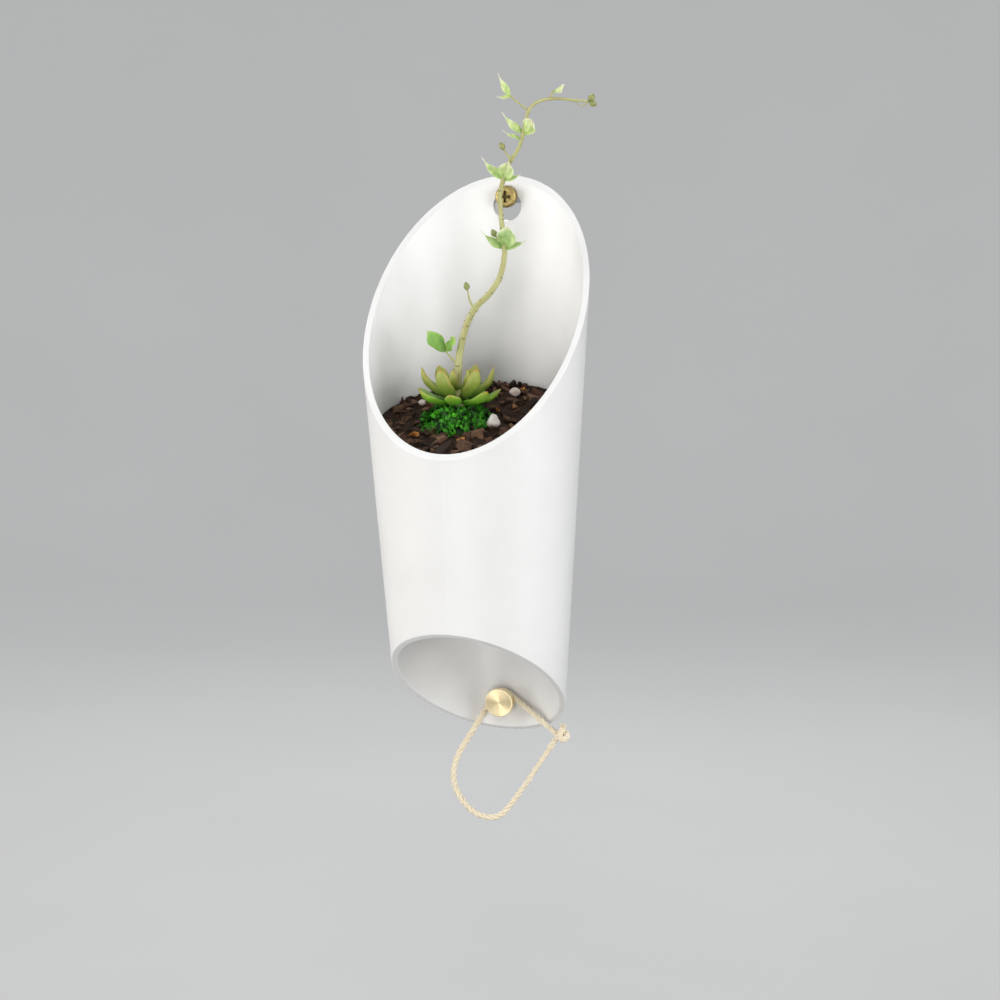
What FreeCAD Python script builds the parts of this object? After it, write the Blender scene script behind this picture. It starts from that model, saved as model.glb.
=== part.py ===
# Wall planter: a leaning ceramic cone, cut at a slant at both ends, that hangs on one wall screw.
# The pot holds a rosette in flower, and a loop of cord hangs on a brass peg in the niche below it.
# Frame, in millimetres: the wall is the plane y = 0, the room is at -y and +z is up.
# The origin lies on the wall screw's axis, where it leaves the wall.
import FreeCAD
import Part
import Sketcher
import math
import os
import re

Vector = FreeCAD.Vector

# Driving dimensions, in millimetres and degrees.
SIZES = {
    # Ceramic shell: the mouth and foot are the cone's circles at the two ends of the back
    "back_height": 231.0,
    "mouth_diameter": 97.0,
    "foot_diameter": 66.0,
    "wall_thickness": 2.5,
    "top_slope": 52.2,
    "bottom_slope": 36.3,
    "niche_headroom": 5.2,
    "floor_thickness": 4.0,
    "pot_corner_radius": 5.0,
    "niche_corner_radius": 3.0,
    "rim_radius": 0.4,
    "hole_diameter": 12.0,
    "hole_below_top": 13.0,
    # Wall screw and plug
    "screw_diameter": 4.2,
    "screw_head_diameter": 9.0,
    "screw_head_height": 2.8,
    "screw_head_round": 1.4,
    "screw_head_gap": 0.7,
    "screw_depth": 36.0,
    "screw_point": 5.0,
    "recess_span": 4.8,
    "recess_width": 1.3,
    "recess_depth": 1.5,
    "hang_clearance": 0.1,
    "plug_diameter": 6.0,
    "plug_length": 30.0,
    "plug_slot_width": 1.0,
    "plug_slot_length": 18.0,
    "plug_clearance": 0.05,
    # Key peg, its washer and its screw from behind
    "peg_above_foot": 13.7,
    "peg_head_diameter": 11.8,
    "peg_head_thickness": 3.0,
    "peg_neck_diameter": 6.0,
    "peg_neck_length": 4.2,
    "peg_flange_diameter": 8.4,
    "peg_flange_thickness": 0.8,
    "peg_edge_radius": 0.35,
    "washer_diameter": 9.0,
    "washer_thickness": 1.0,
    "seat_clearance": 0.05,
    "peg_screw_diameter": 3.0,
    "peg_screw_head_diameter": 5.6,
    "peg_screw_sink": 0.4,
    "peg_screw_length": 9.0,
    "peg_screw_clearance": 0.1,
    # Cord loop
    "cord_diameter": 2.5,
    "cord_clearance": 0.15,
    "knot_radius": 1.9,
    "knot_tail": 4.5,
    # Soil and what lies on it
    "soil_below_lip": 1.5,
    "soil_slope": 15.0,
    "soil_clearance": 0.15,
    "moss_radius": 13.0,
    "moss_height": 7.0,
    "chip_reach": 4.0,
    "chip_height": 2.4,
    "chip_gap": 0.6,
    "pebble_radius": 2.6,
    "pebble_height": 3.6,
    # Plant
    "plant_across": -6.2,
    "plant_depth": 45.0,
    "crown_radius": 4.5,
    "crown_rise": 2.06,
    "stalk_base_diameter": 3.0,
    "stalk_tip_diameter": 1.0,
    "shoot_diameter": 0.7,
    "bud_diameter": 2.4,
    "bud_length": 3.0,
    "leaf_gap": 0.05,
    "outer_leaf_length": 13.5,
    "outer_leaf_width": 6.8,
    "outer_leaf_thickness": 2.8,
    "middle_leaf_length": 15.5,
    "middle_leaf_width": 6.8,
    "middle_leaf_thickness": 2.8,
    "inner_leaf_length": 9.0,
    "inner_leaf_width": 3.6,
    "inner_leaf_thickness": 1.4,
    "stalk_leaf_thickness": 0.8,
    "thin_leaf_length": 10.5,
    "thin_leaf_width": 4.2,
    "broad_leaf_length": 9.2,
    "broad_leaf_width": 8.6,
    "shoot_leaf_length": 10.4,
    "shoot_leaf_width": 6.8,
    "bract_length": 4.8,
    "bract_width": 2.6,
}

# Sizes that follow from the driving ones. A height is measured along the cone's axis from the foot.
DERIVED = {
    "lean": "asin((mouth_diameter - foot_diameter) / 2 / back_height)",
    "hole_z": "screw_diameter / 2 + hang_clearance - hole_diameter / 2",
    "top_z": "hole_z + hole_below_top",
    "foot_z": "top_z - back_height",
    "centre_y": "-foot_diameter / 2 * cos(lean)",
    "centre_z": "foot_z - foot_diameter / 2 * sin(lean)",
    "axis_length": "back_height * cos(lean)",
    "overrun": "mouth_diameter / 4",
    "outer_radius": "foot_diameter / 2",
    "inner_radius": "foot_diameter / 2 - wall_thickness / cos(lean)",
    "soil_radius": "inner_radius - soil_clearance / cos(lean)",
    "front_y": "centre_y - inner_radius * cos(lean)",
    "front_z": "centre_z - inner_radius * sin(lean)",
    "foot_front_height": "(foot_z - tan(bottom_slope) * front_y - front_z)"
                         " / (cos(2 * lean) / cos(lean) - 2 * tan(bottom_slope) * sin(lean))",
    "niche_height": "foot_front_height + niche_headroom",
    "floor_height": "niche_height + floor_thickness",
    "lip_height": "(top_z + tan(top_slope) * front_y - front_z)"
                  " / (cos(2 * lean) / cos(lean) + 2 * tan(top_slope) * sin(lean))",
    "lip_y": "front_y - 2 * lip_height * sin(lean)",
    "lip_z": "front_z + lip_height * cos(2 * lean) / cos(lean)",
    "soil_front_z": "lip_z - soil_below_lip",
    "soil_back_z": "soil_front_z - lip_y * tan(soil_slope)",
    "soil_at_plant": "soil_back_z - plant_depth * tan(soil_slope)",
    "moss_ball_radius": "(moss_radius ^ 2 + moss_height ^ 2) / (2 * moss_height)",
    "moss_ball_z": "soil_at_plant - (moss_ball_radius - moss_height) / cos(soil_slope)",
    "moss_downhill": "(moss_ball_radius - moss_height) * tan(soil_slope)",
    "crown_seat_radius": "sqrt(crown_radius ^ 2 - crown_rise ^ 2)",
    "crown_seat_z": "moss_ball_z + sqrt(moss_ball_radius ^ 2 - crown_seat_radius ^ 2)",
    "crown_z": "crown_seat_z + crown_rise",
    "crown_top_z": "crown_z + sqrt(crown_radius ^ 2 - stalk_base_diameter ^ 2 / 4)",
    "screw_head_back": "wall_thickness + screw_head_gap",
    "screw_head_front": "screw_head_back + screw_head_height",
    "peg_z": "foot_z + peg_above_foot",
    "washer_front": "wall_thickness + washer_thickness",
    "flange_front": "washer_front + peg_flange_thickness",
    "neck_middle": "flange_front + peg_neck_length / 2",
    "neck_front": "flange_front + peg_neck_length",
    "head_front": "neck_front + peg_head_thickness",
    "peg_screw_tip": "peg_screw_sink + peg_screw_length",
    "peg_screw_head_depth": "(peg_screw_head_diameter - peg_screw_diameter) / 2",
}

doc = FreeCAD.newDocument("WallPlanter")


def spell(formula):
    """Write each size in a formula as a cell of its sheet."""
    def cell(match):
        name = match.group()
        if name in SIZES:
            return "Sizes." + name
        if name in DERIVED:
            return "Derived." + name
        return name
    return re.sub(r"[a-z_]+", cell, formula)


def fill_sheet(sheet_name, values, as_text):
    """Make a sheet with one named cell per value."""
    sheet = doc.addObject("Spreadsheet::Sheet", sheet_name)
    for row, (name, value) in enumerate(values.items(), start=1):
        sheet.set(f"A{row}", name)
        sheet.set(f"B{row}", as_text(value))
        sheet.setAlias(f"B{row}", name)
    return sheet


sizes = fill_sheet("Sizes", SIZES, str)
fill_sheet("Derived", DERIVED, lambda formula: "=" + spell(formula))
doc.recompute()


def number(formula):
    """The value of a formula of sizes."""
    value = sizes.evalExpression(spell(formula))
    return float(getattr(value, "Value", value))


def bind(thing, formulas):
    """Tie an object's properties to formulas of sizes."""
    for name, formula in formulas.items():
        thing.setExpression(name, spell(formula))


def new_body(label):
    body = doc.addObject("PartDesign::Body", label)
    body.Label = label
    return body


def new_sketch(body, role, name):
    """A sketch on one of the body's own planes. On YZ_Plane it runs along y and z, on XZ_Plane along x and z."""
    plane = next(feature for feature in body.Origin.OriginFeatures if feature.Role == role)
    sketch = body.newObject("Sketcher::SketchObject", name)
    sketch.AttachmentSupport = [(plane, "")]
    sketch.MapMode = "FlatFace"
    return sketch


def pin_point(sketch, line, end, corner):
    """Hold one end of a line at a pair of formulas."""
    for kind, axis, formula in zip(("DistanceX", "DistanceY"), (-2, -1), corner):
        if formula == "0":
            sketch.addConstraint(Sketcher.Constraint("PointOnObject", line, end, axis))
        else:
            index = sketch.addConstraint(Sketcher.Constraint(kind, -1, 1, line, end, number(formula)))
            bind(sketch, {f"Constraints[{index}]": formula})


def draw_line(sketch, start, end, construction=False):
    ends = [Vector(number(across), number(up), 0) for across, up in (start, end)]
    return sketch.addGeometry(Part.LineSegment(*ends), construction)


def draw_outline(sketch, corners):
    """A closed outline of straight lines, with every corner tied to its formulas."""
    lines = [draw_line(sketch, corner, corners[(i + 1) % len(corners)]) for i, corner in enumerate(corners)]
    for i, line in enumerate(lines):
        sketch.addConstraint(Sketcher.Constraint("Coincident", line, 2, lines[(i + 1) % len(lines)], 1))
        pin_point(sketch, line, 1, corners[i])


def draw_circle(sketch, centre, diameter):
    middle = Vector(number(centre[0]), number(centre[1]), 0)
    circle = sketch.addGeometry(Part.Circle(middle, Vector(0, 0, 1), number(diameter) / 2), False)
    pin_point(sketch, circle, 3, centre)
    index = sketch.addConstraint(Sketcher.Constraint("Diameter", circle, number(diameter)))
    bind(sketch, {f"Constraints[{index}]": diameter})


def add_feature(body, kind, name, sketch, bound, **settings):
    """Add a sketch-based feature, and make sure that a cut takes something away."""
    before = body.Tip.Shape.Volume if body.Tip else 0.0
    feature = body.newObject("PartDesign::" + kind, name)
    feature.Profile = sketch
    for key, value in settings.items():
        setattr(feature, key, value)
    bind(feature, bound)
    doc.recompute()
    if kind in ("Pocket", "Groove") and feature.Shape.Volume > before - 1e-3:
        raise RuntimeError(name + " cuts nothing")
    return feature


def turn(body, kind, name, corners, axis=None):
    """Turn an outline in the plane x = 0 about the body's y axis, or about a line between two corners."""
    sketch = new_sketch(body, "YZ_Plane", name + "_outline")
    draw_outline(sketch, corners)
    reference = "H_Axis"
    if axis:
        line = draw_line(sketch, *axis, construction=True)
        pin_point(sketch, line, 1, axis[0])
        pin_point(sketch, line, 2, axis[1])
        reference = "Axis0"
    return add_feature(body, kind, name, sketch, {}, ReferenceAxis=(sketch, [reference]), Angle=360)


def cut_side(body, name, corners):
    """Cut away an outline in the plane x = 0, right through to both sides."""
    sketch = new_sketch(body, "YZ_Plane", name + "_outline")
    draw_outline(sketch, corners)
    width = {"Length": "2 * mouth_diameter"}
    return add_feature(body, "Pocket", name, sketch, width, SideType="Symmetric")


def find_edges(shape, belongs):
    """The names of the edges whose points all pass a test."""
    names = []
    for i, edge in enumerate(shape.Edges, start=1):
        if not edge.Degenerated and all(belongs(point) for point in edge.discretize(Number=9)):
            names.append(f"Edge{i}")
    return names


def round_edges(body, name, belongs, radius):
    base = body.Tip
    fillet = body.newObject("PartDesign::Fillet", name)
    fillet.Base = (base, find_edges(base.Shape, belongs))
    bind(fillet, {"Radius": radius})
    doc.recompute()
    return fillet


def leaning(height, radius):
    """A corner in the plane x = 0: a height along the cone's axis, and a radius toward the room."""
    across = f"centre_y - ({height}) * sin(lean) - ({radius}) * cos(lean)"
    up = f"centre_z + ({height}) * cos(lean) - ({radius}) * sin(lean)"
    return across, up


def cone_outline(low, high, foot_radius):
    """Half the section of a stretch of the leaning cone, from its axis to its front."""
    return [
        leaning(low, "0"),
        leaning(low, f"{foot_radius} + ({low}) * tan(lean)"),
        leaning(high, f"{foot_radius} + ({high}) * tan(lean)"),
        leaning(high, "0"),
    ]


def slant_outline(back_z, slope, beyond):
    """All that lies between a slanting line, which starts at a height on the back, and a height beyond it."""
    return [
        ("overrun", f"{back_z} + overrun * tan({slope})"),
        ("-2 * mouth_diameter", f"{back_z} - 2 * mouth_diameter * tan({slope})"),
        ("-2 * mouth_diameter", beyond),
        ("overrun", beyond),
    ]


CONE_AXIS = (leaning("0", "0"), leaning("axis_length", "0"))
CONE_TOP = "axis_length + overrun"


def on_slope(start_z, slope):
    """A test for points on a slanting cut that starts at a height on the back."""
    level = number(start_z)
    rise = math.tan(math.radians(number(slope)))
    return lambda point: abs(point.z - level - rise * point.y) < 1e-3


def at_height(height):
    """A test for points at a height along the cone's axis."""
    lean = math.radians(number("lean"))
    centre = Vector(0, number("centre_y"), number("centre_z"))
    axis = Vector(0, -math.sin(lean), math.cos(lean))
    return lambda point: abs((point - centre).dot(axis) - number(height)) < 1e-3


def make_shell():
    """One casting: the cone, its two slanting ends, the pot, the niche below it and the two holes."""
    body = new_body("planter_shell")
    turn(body, "Revolution", "cone", cone_outline("-overrun", CONE_TOP, "outer_radius"), CONE_AXIS)
    turn(body, "Groove", "pot", cone_outline("floor_height", CONE_TOP, "inner_radius"), CONE_AXIS)
    turn(body, "Groove", "niche", cone_outline("-overrun", "niche_height", "inner_radius"), CONE_AXIS)
    round_edges(body, "pot_corner", at_height("floor_height"), "pot_corner_radius")
    round_edges(body, "niche_corner", at_height("niche_height"), "niche_corner_radius")
    cut_side(body, "scoop", slant_outline("top_z", "top_slope", "top_z + 2 * mouth_diameter"))
    cut_side(body, "foot_slant", slant_outline("foot_z", "-bottom_slope", "foot_z - 2 * mouth_diameter"))
    for name, centre_z, diameter in (
        ("hanging_hole", "hole_z", "hole_diameter"),
        ("peg_hole", "peg_z", "peg_screw_diameter + 2 * peg_screw_clearance"),
    ):
        sketch = new_sketch(body, "XZ_Plane", name + "_outline")
        draw_circle(sketch, ("0", centre_z), diameter)
        add_feature(body, "Pocket", name, sketch, {"Length": "foot_diameter / 2"}, Reversed=True)
    turn(body, "Groove", "countersink", [
        ("wall_thickness", "peg_z"),
        ("wall_thickness", "peg_z + peg_screw_head_diameter / 2 + peg_screw_clearance"),
        ("-peg_screw_sink", "peg_z + peg_screw_head_diameter / 2 + peg_screw_clearance"),
        ("-peg_screw_sink - peg_screw_head_depth", "peg_z + peg_screw_diameter / 2 + peg_screw_clearance"),
        ("-peg_screw_sink - peg_screw_head_depth", "peg_z"),
    ], (("0", "peg_z"), ("-wall_thickness", "peg_z")))
    round_edges(body, "mouth_rim", on_slope("top_z", "top_slope"), "rim_radius")
    round_edges(body, "foot_rim", on_slope("foot_z", "-bottom_slope"), "rim_radius")
    return body


def make_wall_screw():
    """Pan-head screw with a cross recess. It stands out of the wall far enough for the shell to hang on it."""
    body = new_body("wall_screw")
    shank = "screw_diameter / 2"
    head = "screw_head_diameter / 2"
    turn(body, "Revolution", "shank_and_head", [
        ("screw_depth", "0"),
        ("screw_depth - screw_point", shank),
        ("-screw_head_back", shank),
        ("-screw_head_back", head),
        ("-screw_head_front", head),
        ("-screw_head_front", "0"),
    ])
    front = number("-screw_head_front")
    round_edges(body, "head_round", lambda point: abs(point.y - front) < 1e-3, "screw_head_round")
    sketch = new_sketch(body, "XZ_Plane", "recess_outline")
    bind(sketch, {"AttachmentOffset.Base.z": "screw_head_front"})
    long, short = "recess_span / 2", "recess_width / 2"
    draw_outline(sketch, [
        (short, short), (short, long), (f"-{short}", long), (f"-{short}", short),
        (f"-{long}", short), (f"-{long}", f"-{short}"), (f"-{short}", f"-{short}"), (f"-{short}", f"-{long}"),
        (short, f"-{long}"), (short, f"-{short}"), (long, f"-{short}"), (long, short),
    ])
    add_feature(body, "Pocket", "cross_recess", sketch, {"Length": "recess_depth"})
    return body


def make_wall_plug():
    """Plug flush with the wall, split from its inner end so that the screw can spread it."""
    body = new_body("wall_plug")
    bore = "screw_diameter / 2 + plug_clearance"
    turn(body, "Revolution", "sleeve", [
        ("0", bore),
        ("0", "plug_diameter / 2"),
        ("plug_length", "plug_diameter / 2"),
        ("plug_length", bore),
    ])
    sketch = new_sketch(body, "YZ_Plane", "slot_outline")
    draw_outline(sketch, [
        ("plug_length - plug_slot_length", "-plug_slot_width / 2"),
        ("plug_length - plug_slot_length", "plug_slot_width / 2"),
        ("plug_length", "plug_slot_width / 2"),
        ("plug_length", "-plug_slot_width / 2"),
    ])
    add_feature(body, "Pocket", "slot", sketch, {"Length": "2 * plug_diameter"}, SideType="Symmetric")
    return body


def make_key_peg():
    """Turned peg: a flange on the washer, a neck for the cord and a disc head, tapped from behind."""
    body = new_body("key_peg")
    bind(body, {"Placement.Base.z": "peg_z"})
    bore = "peg_screw_diameter / 2 + peg_screw_clearance"
    bore_end = "-peg_screw_tip - peg_screw_clearance"
    flange = "peg_flange_diameter / 2"
    neck = "peg_neck_diameter / 2"
    head = "peg_head_diameter / 2"
    turn(body, "Revolution", "turned_peg", [
        ("-washer_front", bore),
        ("-washer_front", flange),
        ("-flange_front", flange),
        ("-flange_front", neck),
        ("-neck_front", neck),
        ("-neck_front", head),
        ("-head_front", head),
        ("-head_front", "0"),
        (bore_end, "0"),
        (bore_end, bore),
    ])
    reach = number(head)
    round_edges(body, "head_edges", lambda point: abs(math.hypot(point.x, point.z) - reach) < 1e-3,
                "peg_edge_radius")
    return body


def make_peg_washer():
    """Washer with a flat front and a back that follows the hollow of the wall behind it."""
    disc = doc.addObject("Part::Cylinder", "washer_disc")
    bind(disc, {"Radius": "washer_diameter / 2", "Height": "washer_front"})
    hole = doc.addObject("Part::Cylinder", "washer_hole")
    bind(hole, {"Radius": "peg_screw_diameter / 2 + peg_screw_clearance", "Height": "washer_front"})
    for cylinder in (disc, hole):
        cylinder.Placement = FreeCAD.Placement(Vector(), FreeCAD.Rotation(Vector(1, 0, 0), 90))
        bind(cylinder, {"Placement.Base.z": "peg_z"})
    ring = doc.addObject("Part::Cut", "washer_ring")
    ring.Base = disc
    ring.Tool = hole
    hollow = doc.addObject("Part::Cone", "washer_hollow")
    radius = "(inner_radius - seat_clearance)"
    bind(hollow, {
        "Radius1": f"{radius} - overrun * tan(lean)",
        "Radius2": f"{radius} + niche_height * tan(lean)",
        "Height": "niche_height + overrun",
        "Placement.Rotation.Angle": "lean",
        "Placement.Base.y": "centre_y + overrun * sin(lean)",
        "Placement.Base.z": "centre_z - overrun * cos(lean)",
    })
    hollow.Placement.Rotation = FreeCAD.Rotation(Vector(1, 0, 0), number("lean"))
    washer = doc.addObject("Part::Common", "peg_washer")
    washer.Base = ring
    washer.Tool = hollow
    return washer


def make_peg_screw():
    """Countersunk screw from behind, sunk below the back so that the shell lies flat on the wall."""
    body = new_body("peg_screw")
    bind(body, {"Placement.Base.z": "peg_z"})
    turn(body, "Revolution", "countersunk_screw", [
        ("-peg_screw_sink", "0"),
        ("-peg_screw_sink", "peg_screw_head_diameter / 2"),
        ("-peg_screw_sink - peg_screw_head_depth", "peg_screw_diameter / 2"),
        ("-peg_screw_tip", "peg_screw_diameter / 2"),
        ("-peg_screw_tip", "0"),
    ])
    return body


def make_soil():
    """Soil that fills the pot, with a top that rises from the front lip toward the wall."""
    body = new_body("potting_soil")
    low = "floor_height + soil_clearance"
    turn(body, "Revolution", "filling", cone_outline(low, CONE_TOP, "soil_radius"), CONE_AXIS)
    round_edges(body, "bottom_corner", at_height(low), "pot_corner_radius")
    cut_side(body, "soil_top", slant_outline("soil_back_z", "soil_slope", "top_z + 2 * mouth_diameter"))
    return body


def make_moss():
    """Low cushion on the soil: a ball's cap with a level seat for the crown on top."""
    ball = doc.addObject("Part::Sphere", "moss_ball")
    bind(ball, {
        "Radius": "moss_ball_radius",
        "Angle1": "-90 deg",
        "Angle2": "acos(crown_seat_radius / moss_ball_radius)",
        "Placement.Base.x": "plant_across",
        "Placement.Base.y": "-plant_depth",
        "Placement.Base.z": "moss_ball_z",
    })
    under = doc.addObject("Part::Box", "moss_under")
    under.Placement.Rotation = FreeCAD.Rotation(Vector(1, 0, 0), number("soil_slope"))
    bind(under, {
        "Length": "2 * mouth_diameter",
        "Width": "2 * mouth_diameter",
        "Height": "mouth_diameter",
        "Placement.Rotation.Angle": "soil_slope * 1 deg",
        "Placement.Base.x": "-mouth_diameter",
        "Placement.Base.y": "-plant_depth - mouth_diameter * (cos(soil_slope) - sin(soil_slope))",
        "Placement.Base.z": "soil_at_plant - mouth_diameter * (cos(soil_slope) + sin(soil_slope))",
    })
    moss = doc.addObject("Part::Cut", "moss_mound")
    moss.Base = ball
    moss.Tool = under
    return moss


def make_crown():
    """Short stem of the rosette: a ball with a flat foot on the moss and a flat top for the stalk."""
    crown = doc.addObject("Part::Sphere", "rosette_crown")
    bind(crown, {
        "Radius": "crown_radius",
        "Angle1": "-acos(crown_seat_radius / crown_radius)",
        "Angle2": "acos(stalk_base_diameter / 2 / crown_radius)",
        "Placement.Base.x": "plant_across",
        "Placement.Base.y": "-plant_depth",
        "Placement.Base.z": "crown_z",
    })
    return crown


def group(label, solids):
    """A node made of separate solids of one kind."""
    node = doc.addObject("Part::Feature", label)
    node.Label = label
    node.Shape = solids[0] if len(solids) == 1 else Part.makeCompound(solids)
    return node


# Leaf outlines: how wide and how thick a leaf is along its length, as shares of its full width and thickness.
FLESHY_LEAF = ((0.0, 0.48, 0.62), (0.3, 0.86, 0.95), (0.6, 1.0, 1.0), (0.82, 0.74, 0.75), (1.0, 0.12, 0.2))
POINTED_LEAF = ((0.0, 0.22, 1.0), (0.25, 0.8, 1.0), (0.5, 1.0, 1.0), (0.78, 0.5, 0.7), (1.0, 0.08, 0.3))
BROAD_LEAF = ((0.0, 0.22, 1.0), (0.2, 0.78, 1.0), (0.5, 1.0, 1.0), (0.8, 0.72, 0.8), (1.0, 0.16, 0.4))
# A leaf's section, half its width to each side: a full underside and a nearly flat upper side.
LEAF_UNDER = 0.7
LEAF_SECTION = ((-1.0, 0.0), (-0.5, -LEAF_UNDER), (0.5, -LEAF_UNDER), (1.0, 0.0), (0.5, 0.3), (-0.5, 0.3))


def polygon(points):
    return Part.makePolygon(points + points[:1])


def make_leaf(start, heading, up, length, width, thickness, curl, outline):
    """One leaf from its foot along its heading. It curls toward its upper side by an angle in degrees."""
    heading = Vector(heading).normalize()
    side = heading.cross(Vector(up)).normalize()
    up = side.cross(heading).normalize()
    bend = math.radians(curl)
    bend_radius = length / bend
    wires = []
    for along, wide, thick in outline:
        angle = bend * along
        middle = start + heading * (bend_radius * math.sin(angle)) + up * (bend_radius * (1 - math.cos(angle)))
        lift = up * math.cos(angle) - heading * math.sin(angle)
        half_width = side * (width * wide / 2)
        depth = lift * (thickness * thick)
        wires.append(polygon([middle + half_width * across + depth * rise for across, rise in LEAF_SECTION]))
    return Part.makeLoft(wires, True, True)


# Rings of the rosette: how many leaves, then the first leaf's turn about the plant, elevation and curl in degrees.
ROSETTE_COUNTS = {"outer": 7, "middle": 6, "inner": 5}
ROSETTE_ANGLES = {"outer": (23.0, 2.0, 22.0), "middle": (20.0, 28.0, 22.0), "inner": (50.0, 58.0, 8.0)}


def make_rosette_ring(name):
    """A ring of fleshy leaves that stand on the crown."""
    count = ROSETTE_COUNTS[name]
    first_turn, elevation, curl = ROSETTE_ANGLES[name]
    length, width, thickness = (number(f"{name}_leaf_{size}") for size in ("length", "width", "thickness"))
    centre = Vector(number("plant_across"), -number("plant_depth"), number("crown_z"))
    reach = number("crown_radius + leaf_gap")
    rise = math.radians(elevation)
    leaves = []
    for i in range(count):
        azimuth = math.radians(first_turn + 360 * i / count)
        outward = Vector(math.cos(azimuth), math.sin(azimuth), 0)
        heading = outward * math.cos(rise) + Vector(0, 0, math.sin(rise))
        up = Vector(0, 0, math.cos(rise)) - outward * math.sin(rise)
        foot = centre + heading * reach
        leaves.append(make_leaf(foot, heading, up, length, width, thickness, curl, FLESHY_LEAF))
    return group(f"rosette_{name}_leaves", leaves)


def rounded_path(points, share=0.45):
    """Straight runs joined by tangent arcs, each as large as its two runs allow. Also gives the radii."""
    edges = []
    radii = []
    last = points[0]
    for before, corner, after in zip(points, points[1:], points[2:]):
        back = before - corner
        ahead = after - corner
        reach = share * min(back.Length, ahead.Length)
        half_turn = (math.pi - back.getAngle(ahead)) / 2
        radius = reach / math.tan(half_turn)
        back.normalize()
        ahead.normalize()
        inward = (back + ahead).normalize()
        middle = corner + inward * (radius / math.cos(half_turn) - radius)
        start = corner + back * reach
        end = corner + ahead * reach
        edges.append(Part.LineSegment(last, start).toShape())
        edges.append(Part.Arc(start, middle, end).toShape())
        radii.append(radius)
        last = end
    edges.append(Part.LineSegment(last, points[-1]).toShape())
    return Part.Wire(edges), radii


# Stems and buds have eight sides, and a stem has a few rings for each bend of its route.
SIDES = 8
RINGS_PER_BEND = 3


def ring(centre, side, other, radius):
    """An eight-sided ring in the plane of two directions."""
    corners = []
    for k in range(SIDES):
        angle = 2 * math.pi * k / SIDES
        corners.append(centre + side * (radius * math.cos(angle)) + other * (radius * math.sin(angle)))
    return polygon(corners)


class Stem:
    """A stem along a rounded route, from one radius to another."""

    def __init__(self, points, start_radius, end_radius):
        path = rounded_path(points)[0]
        self.places = path.discretize(Number=RINGS_PER_BEND * len(points))
        self.last = len(self.places) - 1
        self.radii = (start_radius, end_radius)

    def place(self, step):
        """A point on the middle line, by a count of rings that needn't be whole."""
        step = min(max(step, 0), self.last)
        k = min(int(step), self.last - 1)
        return self.places[k] + (self.places[k + 1] - self.places[k]) * (step - k)

    def at(self, share):
        """The middle, direction and radius of the stem at a share of its length."""
        step = share * self.last
        ahead = self.place(step + 0.5) - self.place(step - 0.5)
        start_radius, end_radius = self.radii
        return self.place(step), ahead.normalize(), start_radius + (end_radius - start_radius) * share

    def solid(self):
        wires = []
        for i in range(self.last + 1):
            middle, ahead, radius = self.at(i / self.last)
            side = ahead.cross(Vector(0, 1, 0)).normalize()
            wires.append(ring(middle, side, side.cross(ahead), radius))
        return Part.makeLoft(wires, True, True)

    def seat(self, share, heading, depth):
        """Where a piece that heads away from the stem starts, with room for its own depth there."""
        middle, ahead, radius = self.at(share)
        outward = heading if share == 1 else heading - ahead * heading.dot(ahead)
        return middle + outward.normalize() * (radius + depth + number("leaf_gap"))


# The stalk's bends, from the top of the crown: across, toward the wall and up.
STALK_ROUTE = [
    (0, 0, 0), (0, 0, 9.5), (1.1, 0.6, 18.0), (3.5, 1.3, 27.0), (7.0, 1.9, 33.0), (11.9, 2.5, 37.2),
    (16.0, 3.2, 43.2), (17.8, 3.8, 50.3), (18.0, 4.3, 57.5), (16.5, 4.5, 64.5), (15.8, 4.7, 71.0),
    (15.4, 4.8, 77.0), (17.0, 5.0, 82.5), (18.9, 5.4, 88.6), (22.5, 5.8, 93.2), (24.3, 6.3, 98.6),
    (25.3, 6.9, 105.4), (26.9, 7.2, 110.4), (32.0, 7.7, 113.2), (38.5, 8.3, 113.5), (44.0, 8.6, 112.8),
    (50.2, 8.8, 112.3),
]
# Side shoots: the share of the stalk's length where each starts, and the bends that it then takes.
SHOOT_ROUTES = {
    "lower": (0.062, [(-2.9, -0.4, 12.6), (-5.0, -0.8, 15.0)]),
    "bud_low": (0.231, [(4.75, 1.7, 33.9), (3.8, 1.6, 36.6), (3.4, 1.6, 38.9)]),
    "bud_side": (0.444, [(15.4, 3.6, 59.0), (14.4, 3.4, 59.9)]),
    "bud_middle": (0.678, [(17.9, 5.3, 92.0), (17.0, 5.3, 93.6)]),
    "left": (0.819, [(22.3, 6.8, 111.7), (19.2, 6.4, 114.3)]),
    "right": (0.893, [(35.3, 8.0, 115.0), (36.1, 8.0, 116.4)]),
}
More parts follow.
